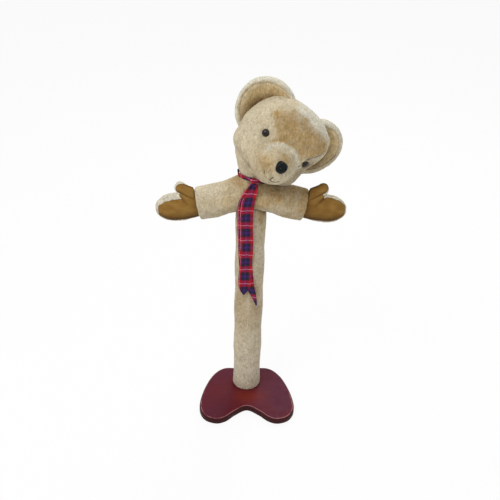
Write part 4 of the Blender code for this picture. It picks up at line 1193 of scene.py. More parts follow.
@dataclass
class Mitts(Dressed):
    """Both mitts: a plush back with a rolled rim, and a suede palm that bulges out of it."""

    line: ArmLine
    sections: Table = (
        (0.0, 0.034), (0.016, 0.036), (0.04, 0.039), (0.066, 0.0385), (0.086, 0.032),
        (0.1, 0.021), (0.107, 0.0095), (0.1085, 0.001),
    )
    seam: float = -0.006
    back_depth: float = 0.026
    rim_depth: float = 0.01
    palm_depth: float = 0.018
    palm_inset: Row = (0.0045, 0.0078)
    palm_drop: Row = (-0.001, 0.0035)
    thumb_lift: Row = (0.001, -0.0035)
    root_lift: float = 0.0045
    root_back: float = 0.012
    thumb: Table = ((0.009, 0.023), (0.047, 0.065))
    thumb_radius: float = 0.0165
    thumb_root: float = 1.28
    crotch: Table = ((0.044, 0.034), (0.022, 0.012))
    web: Table = ((0.016, 0.018), (0.0415, 0.0385))
    web_lift: Row = (0.0045, 0.003)
    web_radius: float = 0.013
    web_depth: float = 0.015
    voxel: float = 0.0016

    def put(self, side: int, out: Array, deep: Array, over: Array) -> Array:
        """Points of a mitt: out from the cuff on a line that levels off, front to back, and up.

        Args:
            side: 1 on the left, -1 on the right.
            out: distances from the cuff.
            deep: places front to back.
            over: heights over the mitt's line.
        Returns:
            The points.
        """
        slope = self.line.end_slope
        drop = slope * (out - out * out / (2 * MITT_LENGTH))
        tilt = np.arctan(slope * np.clip(1 - out / MITT_LENGTH, 0, 1))
        x = self.line.cuff + GAP + out + over * np.sin(tilt)
        z = self.line.end_height - drop + over * np.cos(tilt)
        return np.stack([side * x, deep, z], -1)

    def hand(self, side: int, depths: Row, inset: float, drop: float = 0.0) -> Skin:
        """The flattened hand: ellipses of the sections, deeper behind or before the seam.

        The inset and the drop of a palm grow from nothing at the cuff.

        Args:
            side: 1 on the left, -1 on the right.
            depths: before and behind the seam.
            inset: how far its outline is set in.
            drop: how far it is lowered.
        Returns:
            The closed surface.
        """
        rows = spline(self.sections, np.linspace(0, len(self.sections) - 1, 70))
        out, half = rows[:, 0], rows[:, 1]
        apart = ease((out - 0.008) / 0.04)
        tall = np.maximum(half - inset * ease(half / 0.02) * (0.3 + 0.7 * apart), 0.0006)
        fullness = np.minimum(1.0, tall / (0.039 - inset) * 1.08)
        out = np.minimum(out, MITT_LENGTH - inset) - np.where(out < 0.004, 0.004, 0)
        angle = full_turn(72)
        front = np.cos(angle) < 0
        reach = np.where(front, depths[0], depths[1])
        deep = self.seam + np.cos(angle)[None] * reach[None] * fullness[:, None]
        over = np.sin(angle)[None] * tall[:, None] - (drop * ease(half / 0.02) * apart)[:, None]
        return Skin.grid(self.put(side, out[:, None] + 0 * over, deep, over), capped=True)

    def finger(self, side: int, depths: Row, radius: float, line: Table,
               lifts: Row = (0.0, 0.0), back: float = 0.0) -> Skin:
        """The thumb or the web under it: rings along its line, closing round its tip.

        Both ends may be lifted, and its root set back towards the cuff, where it stays flat.

        Args:
            side: 1 on the left, -1 on the right.
            depths: before and behind the seam.
            radius: at its tip.
            line: its root and its tip, out and over.
            lifts: how far root and tip are lifted.
            back: how far the root is set back.
        Returns:
            The closed surface.
        """
        root, tip = (np.array(end) + (0.0, lift) for end, lift in zip(line, lifts))
        root = root - np.array([back, 0.0])
        along = unit(tip - root)
        tip = tip - along * radius
        up = np.array([-along[1], along[0]])
        share = np.linspace(0, 1, 16)
        size = radius * (self.thumb_root + (1 - self.thumb_root) * share)
        middle = root + (tip - root) * share[:, None]
        turns = np.linspace(0, math.pi / 2 - 0.08, 12)[1:]
        middle = np.concatenate([middle, tip + along * np.sin(turns)[:, None] * radius])
        size = np.concatenate([size, np.cos(turns) * radius])
        angle = full_turn(48)
        reach = np.where(np.cos(angle) < 0, depths[0], depths[1]) / self.thumb_radius
        spot = middle[:, None] + up * (np.sin(angle)[None, :, None] * size[:, None, None])
        deep = self.seam + np.cos(angle)[None] * reach[None] * size[:, None]
        out = np.maximum(spot[..., 0], GAP)
        return Skin.grid(self.put(side, out, deep, spot[..., 1]), capped=True)

    def crease(self, points: Array) -> Array:
        """1 along the line where the thumb parts from the hand, fading to 0 within 3 mm.

        A point's place outwards and upwards is found by undoing the mitt's tilt twice.

        Args:
            points: rows of x, y and z.
        Returns:
            A share for each point.
        """
        slope = self.line.end_slope
        level = points[:, 2] - self.line.end_height
        reach = np.abs(points[:, 0]) - self.line.cuff
        out = reach
        for _ in range(2):
            tilt = np.arctan(slope * np.clip(1 - out / MITT_LENGTH, 0, 1))
            over = (level + slope * (out - out * out / (2 * MITT_LENGTH))) / np.cos(tilt)
            out = reach - over * np.sin(tilt)
        start, end = (np.array(place) for place in self.crotch)
        spot = np.stack([out, over], 1) - start
        share = np.clip(spot @ (end - start) / ((end - start) ** 2).sum(), 0, 1)
        apart = np.linalg.norm(spot - share[:, None] * (end - start), axis=1)
        return bump_at(apart, 0.003) * (1 - 0.6 * share)

    def merged(self, parts: list[Skin]) -> Skin:
        """Joins hand, thumb and web to one skin by a fine voxel remesh, and eases the crotch.

        Args:
            parts: hand, thumb and web.
        Returns:
            Its surface, as triangles.
        """
        starts = np.cumsum([0] + [len(part.points) for part in parts[:-1]])
        whole = Skin(
            np.concatenate([part.points for part in parts]),
            np.concatenate([part.quads + start for part, start in zip(parts, starts)]),
            np.concatenate([part.fans + start for part, start in zip(parts, starts)]),
        )
        made = whole.make("mitt_form", self.finish.suede)
        remesh = made.modifiers.new("merge", "REMESH")
        remesh.mode = "VOXEL"
        remesh.voxel_size = self.voxel
        smooth = made.modifiers.new("ease", "SMOOTH")
        smooth.factor = 0.5
        smooth.iterations = 6
        mesh = made.evaluated_get(bpy.context.evaluated_depsgraph_get()).to_mesh()
        mesh.calc_loop_triangles()
        points = np.empty(len(mesh.vertices) * 3, np.float32)
        corners = np.empty(len(mesh.loop_triangles) * 3, np.int32)
        mesh.vertices.foreach_get("co", points)
        mesh.loop_triangles.foreach_get("vertices", corners)
        bpy.data.objects.remove(made)
        points = points.reshape(-1, 3).astype(float)
        return Skin(points, np.empty((0, 4), int), corners.reshape(-1, 3))

    def build(self) -> None:
        """Makes both mitts, the palm and the plush back of each cut clear of each other."""
        for side, name in SIDES:
            back = [
                self.hand(side, (self.rim_depth, self.back_depth), 0.0),
                self.finger(
                    side, (self.rim_depth, self.thumb_radius), self.thumb_radius, self.thumb
                ),
                self.finger(side, (self.rim_depth, 0.015), self.web_radius, self.web),
            ]
            pick = 0 if side > 0 else 1
            skin = self.merged(back)
            x, y, z = skin.points.T
            # paler at the rolled rim and higher up, partly painted light; painted shade darkens it
            # lower down
            rim = ease((0.004 - (y - self.seam)) / 0.008)
            level = (z - self.line.end_height + 0.012) / 0.04
            skin.paint(0.25 + 0 * x, 0.35 + 0.5 * rim * ease(level + 0.6), 0.25 * ease(-level))
            pile(skin, 30 + side)
            mitt = skin.make(f"{name}_mitt_plush", self.finish.plush)
            lifts, thin = (self.root_lift, self.thumb_lift[pick]), self.thumb_radius - 0.0025
            inset, drop = self.palm_inset[pick], self.palm_drop[pick]
            palm_parts = [
                self.hand(side, (self.palm_depth,) * 2, inset, drop),
                self.finger(side, (0.015, 0.015), thin, self.thumb, lifts, self.root_back),
                self.finger(
                    side, (self.web_depth,) * 2, self.web_radius - 0.001, self.web,
                    (0.0, self.web_lift[pick]),
                ),
            ]
            skin = self.merged(palm_parts)
            normals = skin.normals()
            # painted shade where the palm turns from the front, on its underside, at the cuff and
            # in the thumb's crease
            edge = ease((normals[:, 1] + 0.62) / 0.45)
            x, y, z = skin.points.T
            root = bump_at(np.abs(x) - self.line.cuff, 0.014)
            worn = ease(cloud(skin.points, 0.03, 50 + side, 2) + 0.1) * 0.4
            crease = self.crease(skin.points)
            under = ease((0.05 - normals[:, 2]) / 0.7)
            seams = np.maximum(edge * 0.8, np.maximum(root * 0.4, crease * 0.6))
            seams = np.maximum(seams, under * 0.95)
            skin.paint(worn, 0 * x, seams)
            skin.push(cloud(skin.points, 0.02, 60 + side, 2) * 0.0005 - crease * 0.0026)
            palm = skin.make(f"{name}_palm_suede", self.finish.suede)
            self.trim(mitt, palm)
            place_piece(mitt, Body.STAND, "plush", f"{name}_mitt_back", fill=0.75)
            place_piece(palm, Body.STAND, "suede", f"{name}_palm", fill=0.7)

    def trim(self, mitt: Object, palm: Object) -> None:
        """Cuts what lies behind the seam off the palm, then the palm's grown form from the mitt.

        Args:
            mitt: the plush back.
            palm: the suede palm.
        """
        x, z = np.array([-0.4, 0.4, 0.4, -0.4]), np.array([0.4, 0.4, 0.9, 0.9])
        block = np.stack([points_of(x, self.seam - GAP + deep, z) for deep in (0.0, 0.1)])
        behind = Skin.grid(block, capped=True).make("behind_seam", self.finish.suede)
        difference(palm, behind)
        grown = palm.copy()
        grown.data = palm.data.copy()
        bpy.context.scene.collection.objects.link(grown)
        grow = grown.modifiers.new("grow", "DISPLACE")
        grow.strength = GAP
        grow.mid_level = 0.0
        difference(mitt, grown)
        bpy.data.objects.remove(grown)
        bpy.data.objects.remove(behind)


def difference(made: Object, cutter: Object) -> None:
    """Takes a cutter's space out of a piece, for good.

    Args:
        made: the piece.
        cutter: what is cut out of it.
    """
    cut = made.modifiers.new("trim", "BOOLEAN")
    cut.operation = "DIFFERENCE"
    cut.object = cutter
    cut.solver = "EXACT"
    final = made.evaluated_get(bpy.context.evaluated_depsgraph_get())
    mesh = bpy.data.meshes.new_from_object(final)
    made.modifiers.clear()
    made.data = mesh


# The head


@dataclass
class HeadFrame:
    """The head's own axes: its foot is at the lean's axis, and it leans to the bear's left."""

    pivot: Row = (0.0, 0.0, 0.702)
    lean: float = math.radians(39.0)

    @property
    def matrix(self) -> Matrix:
        """From the head's axes to the row frame."""
        return Matrix.Translation(self.pivot) @ Matrix.Rotation(self.lean, 4, "Y")

    def out(self, points: Array) -> Array:
        """Points of the head in the row frame."""
        turn = np.array(self.matrix.to_3x3())
        return points @ turn.T + np.array(self.pivot)


@dataclass
class HeadShape:
    """The stuffed head and its muzzle as one smooth form, in the head's axes."""

    sections: Table = (
        (0.028, 0.046, 0.042, 0.044), (0.035, 0.068, 0.056, 0.06), (0.046, 0.087, 0.065, 0.074),
        (0.064, 0.099, 0.071, 0.083), (0.09, 0.103, 0.075, 0.088), (0.12, 0.103, 0.075, 0.09),
        (0.147, 0.102, 0.072, 0.088), (0.171, 0.095, 0.064, 0.08), (0.191, 0.08, 0.051, 0.065),
        (0.206, 0.056, 0.034, 0.045), (0.214, 0.028, 0.017, 0.022), (0.216, 0.001, 0.001, 0.001),
    )
    power: float = 2.25
    muzzle: Row = (0.0, -0.048, 0.081)
    muzzle_wide: float = 0.056
    muzzle_up: float = 0.05
    muzzle_down: float = 0.045
    muzzle_reach: float = 0.072
    muzzle_power: float = 2.2
    middle: Row = (0.0, 0.0, 0.105)
    fillet: float = 0.009
    slump_height: float = 0.095
    slump_spread: float = 0.055
    slump_left: float = 0.18
    slump_right: float = 0.1

    def slumped(self, x: Array, z: Array) -> Array:
        """Places across the head once its stuffing has sunk to its right, by a bell over z."""
        bell = bump_at(z - self.slump_height, self.slump_spread)
        return x * np.where(x > 0, 1 - self.slump_left * bell, 1 + self.slump_right * bell)

    def beyond_head(self, p: Array) -> Array:
        """Above 0 outside the head: |x/half|^n + |y/depth|^n - 1 at each height.

        Args:
            p: places in the head's axes.
        Returns:
            A level for each.
        """
        low, high = self.sections[0][0], self.sections[-1][0]
        half, face, back = look_up(self.sections, np.clip(p[:, 2], low, high))
        depth = np.where(p[:, 1] > 0, back, face)
        level = np.abs(p[:, 0] / half) ** self.power + np.abs(p[:, 1] / depth) ** self.power - 1
        return np.where((p[:, 2] < low) | (p[:, 2] > high), 1.0, level)

    def beyond_muzzle(self, p: Array) -> Array:
        """Above 0 outside the muzzle: its round section against its reach, as a superellipse.

        Args:
            p: places in the head's axes.
        Returns:
            A level for each.
        """
        x, y, z = (p - np.array(self.muzzle)).T
        tall = np.where(z > 0, self.muzzle_up, self.muzzle_down)
        section = np.hypot(x / self.muzzle_wide, z / tall) ** self.muzzle_power
        return section + np.abs(y / self.muzzle_reach) ** self.muzzle_power - 1

    def reach(self, directions: Array) -> Array:
        """Distance to the form from its middle: the smooth greater of head and muzzle.

        Each is found by halving a span.  The smooth greater of a and b is half of
        a + b + sqrt((a - b)^2 + fillet^2).

        Args:
            directions: of length 1.
        Returns:
            A distance for each.
        """
        found = []
        for beyond in (self.beyond_head, self.beyond_muzzle):
            low = np.zeros(len(directions))
            high = np.full(len(directions), 0.25)
            for _ in range(26):
                half = (low + high) / 2
                outside = beyond(np.array(self.middle) + directions * half[:, None]) > 0
                high = np.where(outside, half, high)
                low = np.where(outside, low, half)
            found.append(low)
        a, b = found
        bulge = np.sqrt((a - b) ** 2 + self.fillet**2) - np.abs(a - b)
        front = ease((0.02 - directions[:, 1]) / 0.5)
        return np.maximum(a, b) + bulge / 2 * front

    def head_point(self, height: float, angle: float) -> Array:
        """A point of the plain head at a height and an angle from its left side.

        Args:
            height: over the head's foot.
            angle: round the head, from its left.
        Returns:
            The point.
        """
        half, face, back = look_up(self.sections, np.array([height]))
        c, s = squared(np.array([angle]), self.power)
        depth = np.where(s > 0, back, face)
        z = np.full(1, height)
        return np.stack([self.slumped(c * half, z), s * depth, z], 1)[0]

    def muzzle_point(self, out: Array, turn: Array) -> Array:
        """Points of the muzzle, out from its tip and then round it.

        Args:
            out: the angle from its tip.
            turn: the angle round it.
        Returns:
            A point for each pair.
        """
        c, s = np.cos(turn), np.sin(turn)
        tall = np.where(s > 0, self.muzzle_up, self.muzzle_down)
        reach, wide = squared(out, self.muzzle_power)
        x, y, z = self.muzzle
        height = z + tall * wide * s
        across = self.slumped(x + self.muzzle_wide * wide * c, height)
        return points_of(across, y - self.muzzle_reach * reach, height)


@dataclass
class Face:
    """Where the eyes, the nose and the mouth sit, in the head's axes."""

    shape: HeadShape
    eye_height: float = 0.125
    eye_angle: float = math.radians(55.0)
    nose_rise: float = math.radians(20.0)
    mouth_start: float = math.radians(11.0)
    mouth_drop: float = math.radians(27.0)
    mouth_near: float = math.radians(2.5)
    mouth_far: float = math.radians(23.0)
    mouth_sag: float = math.radians(2.2)
    mouth_curl: float = math.radians(12.0)
    seam: Table = (
        (0.104, 0.0495), (0.116, 0.0505), (0.128, 0.052), (0.138, 0.0543), (0.146, 0.0621),
        (0.154, 0.071), (0.162, 0.0797), (0.171, 0.0851), (SEAM_TOP, 0.086),
    )

    def facing(self, at: Callable[..., Array], first: Array | float,
               second: Array | float) -> tuple[Array, Array]:
        """Where the form lies at two parameters, and which way it faces, by a cross product.

        Args:
            at: gives a place for the parameters.
            first, second: the parameters.
        Returns:
            The places and the directions.
        """
        spot = at(first, second)
        one = at(first + STEP, second) - at(first - STEP, second)
        other = at(first, second + STEP) - at(first, second - STEP)
        normal, out = unit(np.cross(one, other)), spot - np.array([0.0, 0.0, 0.09])
        return spot, normal * np.sign((normal * out).sum(-1, keepdims=True))

    def gusset(self, side: int) -> Array:
        """The seam from beside the muzzle over the eye to the ear, as places on the plain head.

        Its place across comes from a table over the height, and its depth from the head's
        section there: depth times (1 - |x/half|^n)^(1/n).

        Args:
            side: 1 on the left, -1 on the right.
        Returns:
            The seam's points, upwards.
        """
        height = np.linspace(self.seam[0][0], self.seam[-1][0], 80)
        across = look_up(self.seam, height)[0]
        half, front, _ = look_up(self.shape.sections, height)
        power = self.shape.power
        y = -front * np.clip(1 - (across / half) ** power, 0, 1) ** (1 / power)
        return np.stack([self.shape.slumped(side * across, height), y, height], 1)

    def eye(self, side: int) -> tuple[Array, Array]:
        """The place and the direction of an eye."""
        angle = -self.eye_angle if side > 0 else self.eye_angle - math.pi
        return self.facing(self.shape.head_point, self.eye_height, angle)

    def on_muzzle(self, out: Array, turn: Array) -> tuple[Array, Array]:
        """Places and directions on the muzzle."""
        return self.facing(self.shape.muzzle_point, out, turn)

    @property
    def nose(self) -> tuple[Array, Array]:
        """The place and the direction of the nose."""
        return self.on_muzzle(np.array(self.nose_rise), np.array(math.pi / 2))

    def mouth(self) -> dict[str, tuple[Array, Array]]:
        """The three stitched lines, as places and directions along each.

        Returns:
            The lines by their solids' names.
        """
        share = np.linspace(0, 1, 40)
        out = self.mouth_start + (self.mouth_drop - self.mouth_start) * share
        lines = {"mouth_stem": self.on_muzzle(out, np.full(40, -math.pi / 2))}
        for side, name in SIDES:
            across = self.mouth_near + (self.mouth_far - self.mouth_near) * share
            fall = self.mouth_drop + self.mouth_sag * np.sin(math.pi * share)
            fall = fall - self.mouth_curl * share**2
            turn = np.arctan2(-fall, side * across)
            lines[f"mouth_{name}"] = self.on_muzzle(np.hypot(across, fall), turn)
        return lines


def nearest(points: Array, path: Array) -> Array:
    """Distance from each point to the nearest of a path's points.

    Args:
        points: rows of x, y and z.
        path: the path's points.
    Returns:
        A distance for each point.
    """
    best = np.full(len(points), np.inf)
    for start in range(0, len(path), 8):
        apart = points[:, None] - path[None, start:start + 8]
        best = np.minimum(best, np.sqrt((apart**2).sum(-1)).min(1))
    return best


def stood_on(head: HeadFrame, points: Array, spot: Array, normal: Array) -> Array:
    """Stands a piece made along +Z on a place of the head.

    Args:
        head: the head's axes.
        points: the piece's.
        spot, normal: the place and the direction away from it.
    Returns:
        The points.
    """
    up = Vector(normal).normalized()
    side = (Vector((1, 0, 0)) - up * up.x).normalized()
    turned = Matrix((side, up.cross(side), up)).transposed().to_4x4()
    matrix = np.array(head.matrix @ Matrix.Translation(Vector(spot)) @ turned)
    return points @ matrix[:3, :3].T + matrix[:3, 3]


@dataclass
class Head(Dressed):
    """The head's plush skin, its eyes, nose and mouth."""

    frame: HeadFrame
    shape: HeadShape
    face: Face
    steps: int = 126
    sags: tuple[tuple[Row, float, float], ...] = (
        ((-0.09, -0.008, 0.042), 0.032, 0.006), ((-0.108, 0.016, 0.078), 0.022, -0.006),
        ((-0.048, -0.066, 0.042), 0.026, 0.0075), ((0.0445, -0.07, 0.118), 0.008, 0.0048),
        ((-0.012, -0.092, 0.042), 0.026, 0.0085),
    )
    eye_dips: Row = (0.004, 0.0026)
    eye_rings: Row = (0.0062, 0.001)
    brow: float = 0.0016
    seam_dips: Row = (0.0036, 0.0008)
    mouth_dip: float = 0.0017
    nose_dip: float = 0.002
    muzzle_dip: float = 0.0016

    def surface(self) -> tuple[Skin, Array]:
        """The form over evenly spread directions, with its sags, dimples and seams.

        Returns:
            The skin in the head's axes, and its places before the dimples.
        """
        directions, quads = cube_sphere(self.steps)
        reach = self.shape.reach(directions)
        local = np.array(self.shape.middle) + directions * reach[:, None]
        local[:, 0] = self.shape.slumped(local[:, 0], local[:, 2])
        skin = Skin(local, quads)
        skin.turn_outwards()
        x, y, z = local.T
        dip = np.zeros(len(local))
        for spot, size, amount in self.sags:
            dip += amount * bump_at(np.linalg.norm(local - np.array(spot), axis=1), size)
        for side, eye, ring, depth in zip((1, -1), self.eye_dips, self.eye_rings, self.seam_dips):
            spot, _ = self.face.eye(side)
            apart = np.linalg.norm(local - spot, axis=1)
            dip -= eye * bump_at(apart, 0.011)
            dip += ring * bump_at(apart - 0.0118, 0.0048)
            dip += self.brow * bump_at(apart - 0.024, 0.01) * ease((z - spot[2]) / 0.01)
            seam = self.face.gusset(side)
            near = nearest(local, seam)
            above = side * x < np.interp(z, seam[:, 2], side * seam[:, 0])
            dip -= depth * bump_at(near, 0.0026) * ease((SEAM_TOP - z) / 0.02)
            dip += depth * 0.8 * bump_at(near - 0.009, 0.007) * above
        for spots, _ in self.face.mouth().values():
            dip -= self.mouth_dip * bump_at(nearest(local, spots), 0.0032)
        nose, _ = self.face.nose
        dip -= self.nose_dip * bump_at(np.linalg.norm(local - nose, axis=1), 0.015)
        round_it = np.hypot(x / 0.054, (z - 0.086) / 0.054)
        dip -= self.muzzle_dip * bump_at(round_it - 1.06, 0.07) * ease((-y - 0.045) / 0.02)
        skin.push(dip)
        return skin, local

    def colours(self, local: Array) -> tuple[Array, Array, Array]:
        """Shares of the warm, pale and dark colours at places of the head.

        The gusset between the seams is warm from the muzzle to the crown, partly its nap seen
        end-on and partly painted shade.  A pale arc runs over the muzzle, with a warm patch above
        the nose.
        Painted shade darkens the chin, the left cheek, the seams' creases, the hollows round the
        eyes and the mouth's groove, painted light brightens the crown, and a painted highlight
        runs below the left seam.

        Args:
            local: places in the head's axes.
        Returns:
            The three shares for each place.
        """
        x, y, z = local.T
        ragged = cloud(local, 0.016, 12, 3)
        front = ease((-y - 0.024 + 0.008 * ragged) / 0.024)
        inside = np.full(len(local), np.inf)
        # painted shade on the chin and under it
        dark = 0.3 * ease((0.06 - z) / 0.04) + 0.3 * ease((0.062 - z) / 0.02) * ease(-y / 0.08)
        # painted light on the crown, and paler towards the back
        pale = 0.95 * ease((z - SEAM_TOP) / 0.018) * ease((x + 0.05) / 0.025)
        pale = pale + 0.15 * ease((y + 0.01) / 0.05)
        for side in (1, -1):
            seam = self.face.gusset(side)
            edge = np.interp(z, seam[:, 2], side * seam[:, 0])
            inside = np.minimum(inside, edge - side * x)
            near = nearest(local, seam)
            # painted shade in the seams' creases, deepest in the left fold
            dark = dark + (0.55 if side > 0 else 0.08) * bump_at(near, 0.002)
            # a painted highlight on the left fold's lower lip
            if side > 0:
                pale = pale + 0.5 * bump_at(near - 0.0045, 0.0022) * (side * x > edge)
            # painted shade in the hollows round the eyes
            spot, _ = self.face.eye(side)
            dark = dark + 0.34 * bump_at(np.linalg.norm(local - spot, axis=1), 0.01)
        round_it = np.hypot(x / 0.053, (z - 0.085) / 0.053)
        above = ease((round_it - 1.01 + 0.03 * ragged) / 0.1)
        soft = np.where(x < 0, 0.03, 0.012)
        # the warm gusset: partly its nap seen end-on, partly painted shade
        warm = ease((inside + 0.008 * (x < 0)) / soft + 0.22 * ragged) * above * front
        warm = warm * (0.86 + 0.25 * ragged) * ease((z - 0.1) / 0.02)
        warm = np.maximum(warm, 0.8 * bump_at(np.hypot(x + 0.032, z - 0.082), 0.026) * front)
        warm = warm + 0.22 * ease(ragged * 1.5 - 0.2)
        bridge = bump_at(np.hypot((x + 0.002) / 1.35, z - 0.1165), 0.0155)
        warm = np.maximum(warm, bridge * ease((-y - 0.085) / 0.01) * 0.85)
        arc = bump_at(round_it - 0.945, 0.065) * ease((z - 0.085) / 0.02)
        arc = arc * ease((-y - 0.055) / 0.01)
        # painted shade on the left cheek below the fold
        under = ease((x - 0.04) / 0.025) * ease((0.15 - z) / 0.02) * ease((0.02 - y) / 0.03)
        dark = dark + 0.42 * under
        # painted shade in the mouth's groove
        for spots, _ in self.face.mouth().values():
            dark = dark + 0.22 * bump_at(nearest(local, spots), 0.0022)
        return warm, pale * (1 - warm) + 0.6 * arc, dark

    def build(self) -> None:
        """Makes the head and what is on it."""
        skin, local = self.surface()
        skin.paint(*self.colours(local))
        skin.points = self.frame.out(skin.points)
        pile(skin, 14)
        made = skin.make("head_plush", self.finish.plush)
        place_piece(made, Body.HEAD, "plush", "head", "muzzle", fill=0.95)
        self.build_eyes()
        self.build_nose()
        self.build_mouth()

    def build_eyes(self) -> None:
        """Turned domes on stems, with a pupil and a ring."""
        radius, dome, foot, stem, length = 0.009, 0.007, -0.0009, 0.002, 0.015
        turns = np.linspace(0.06, math.pi / 2, 24)
        profile = [(stem, -length), (stem, foot), (radius * 0.94, foot), (radius, foot + 0.0006)]
        profile += [(radius * math.cos(t), foot + dome * math.sin(t)) for t in turns[1:-1]]
        profile.append((radius * 0.02, foot + dome))
        r, z = np.array(profile).T
        angle = full_turn(48)
        ring = np.stack([np.cos(angle), np.sin(angle)], 1)
        points = np.concatenate(
            [r[:, None, None] * ring[None], np.broadcast_to(z[:, None, None], (len(r), 48, 1))], -1
        )
        for side, name in SIDES:
            skin = Skin.grid(points, capped=True)
            wide = np.hypot(skin.points[:, 0], skin.points[:, 1])
            iris = ease((wide - 0.0042) / 0.0006)
            skin.paint(iris, ease((wide - 0.0078) / 0.0008), 0 * wide)
            skin.points = stood_on(self.frame, skin.points, *self.face.eye(side))
            made = skin.make(f"{name}_eye_dome", self.finish.eye)
            place_piece(made, Body.HEAD, "brown_plastic", f"{name}_eye")

    def build_nose(self) -> None:
        """A moulded triangle with rounded corners, two nostril dents and a groove below."""
        wide, tall, dome, foot = 0.0155, 0.0145, 0.0115, -0.0027
        turn = np.linspace(0, math.pi / 2 * 0.97, 30)[:, None]
        angle = full_turn(72)[None]
        c, s = squared(angle, 2.4)
        size = np.cos(turn) ** 0.8
        x = c * wide * (1 + 0.12 * s) / 1.12 * size
        y = s * tall * size
        z = foot + dome * np.sin(turn) ** 0.9 + 0 * x
        dents = 0.002 * bump_at(np.hypot(np.abs(x) - 0.006, y + 0.0026), 0.0028)
        groove = 0.001 * bump_at(x, 0.0011) * ease((-y - 0.001) / 0.003)
        rim = 0.0008 * bump_at(np.hypot(x / 1.15, y) - 0.0095, 0.0012)
        points = np.stack([x, y, z - dents - groove + rim], -1)
        skirt = points[:1] * np.array([0.9, 0.9, 1.0]) - np.array([0.0, 0.0, 0.002])
        skin = Skin.grid(np.concatenate([skirt, points]), capped=True)
        skin.points = stood_on(self.frame, skin.points, *self.face.nose)
        made = skin.make("nose_cap", self.finish.nose)
        place_piece(made, Body.HEAD, "black_plastic", "nose")

    def build_mouth(self) -> None:
        """Thread along the mouth's lines: it thins where each stitch goes into the plush."""
        for name, (spots, normals) in self.face.mouth().items():
            path = self.frame.out(spots + normals * 0.0004)
            length = np.linspace(0, 1, len(path))
            stitches = 2 if name == "mouth_stem" else 3
            swell = np.abs(np.sin(length * math.pi * stitches)) ** 0.35
            thin = 1 - 0.55 * length * (name == "mouth_left")
            skin = tube(path, 0.0003 + 0.0005 * swell * thin, 12, np.array([0.0, 1.0, 0.2]))
            made = skin.make(f"{name}_thread", self.finish.thread)
            place_piece(made, Body.HEAD, "thread", name)


@dataclass
class Ears(Dressed):
    """Both ears: a cupped lining in a padded back whose rim rolls over to the front."""

    frame: HeadFrame
    shape: HeadShape
    centre: Row = (0.079, 0.029, 0.15)
    radius: float = 0.071
    turn: float = math.radians(12.0)
    droop: float = 0.014
    lining: Table = (
        (0.0, 0.0045), (0.25, 0.0035), (0.45, 0.0005), (0.62, -0.0035), (0.74, -0.0072),
        (0.82, -0.0088), (0.862, -0.0076), (0.884, -0.0046), (0.886, -0.0014), (0.872, 0.0008),
        (0.7, 0.0017), (0.45, 0.0067), (0.0, 0.0097),
    )
    back: Table = (
        (0.0, 0.0103), (0.45, 0.0073), (0.7, 0.0023), (0.88, 0.0014), (0.8985, -0.0014),
        (0.8975, -0.005), (0.884, -0.0076), (0.856, -0.0088), (0.836, -0.0091),
        (0.828, -0.0096), (0.84, -0.0104), (0.88, -0.0127), (0.925, -0.0136),
        (0.965, -0.0112), (0.99, -0.006), (1.0, 0.0005), (0.985, 0.0065), (0.945, 0.0108),
        (0.88, 0.014), (0.7, 0.019), (0.45, 0.0215), (0.0, 0.0222),
    )
    rings: int = 110
    columns: int = 280

    def disc(self, side: int, profile: Table) -> tuple[Skin, Array, Array]:
        """A closed disc turned from a profile of (share of the radius, depth), about the ear.

        Args:
            side: 1 on the left, -1 on the right.
            profile: the table that is turned.
        Returns:
            The disc, and each point's share of the radius and its depth.
        """
        rows = evenly([(share * self.radius, depth) for share, depth in profile], self.rings)
        rows[0, 0] = rows[-1, 0] = 0.0002
        angle = full_turn(self.columns)
        t = self.turn
        outer = np.array([side * math.cos(t), math.sin(t), 0.0])
        deep = np.array([-side * math.sin(t), math.cos(t), 0.0])
        up = np.array([0.0, 0.0, 1.0])
        flat = outer * np.cos(angle)[:, None] + up * np.sin(angle)[:, None]
        wide = rows[:, 0][:, None, None]
        points = wide * flat[None] + rows[:, 1][:, None, None] * deep
        points[..., 2] -= self.droop * np.clip(-points[..., 2] / self.radius, 0, 1) ** 1.4
        x, y, z = self.centre
        middle = self.shape.slumped(np.array(side * x), np.array(z))
        points = points + np.array([float(middle), y, z])
        skin = Skin.grid(points, capped=True)
        share = np.concatenate([np.repeat(rows[:, 0] / self.radius, self.columns), [0, 0]])
        depth = np.concatenate([np.repeat(rows[:, 1], self.columns), rows[[0, -1], 1]])
        return skin, share, depth

    def build(self) -> None:
        """Makes both ears: warm linings with painted shadow towards the head and painted light
        towards their edges, and pale rims, partly painted rim light.
        """
        for side, name in SIDES:
            lining, share, _ = self.disc(side, self.lining)
            x, _, z = lining.points.T
            # painted shadow towards the head, painted light towards the lining's edge
            inner = np.hypot(np.abs(x) - 0.055, z - 0.125)
            warm = 0.97 - 0.2 * ease((share - 0.66) / 0.2)
            dark = 0.95 * (1 - ease((inner - 0.042) / 0.046))
            lining.paint(warm, 0.25 * ease((share - 0.6) / 0.25), dark)
            back, share, depth = self.disc(side, self.back)
            # the pale rim: the pile seen edge-on and painted rim light
            rim, behind = ease((share - 0.865) / 0.075), ease(depth / 0.01)
            back.paint((0.85 - 0.5 * behind) * (1 - rim), 0.4 + 0.5 * rim, 0.1 * behind)
            for skin, part, seed, fill in ((lining, "lining", 80, 0.4), (back, "back", 90, 0.5)):
                skin.points = self.frame.out(skin.points)
                pile(skin, seed + side)
                made = skin.make(f"{name}_ear_{part}_plush", self.finish.ear_plush)
                place_piece(made, Body.HEAD, "plush", f"{name}_ear_{part}", fill=fill)


# The neck and the ribbon


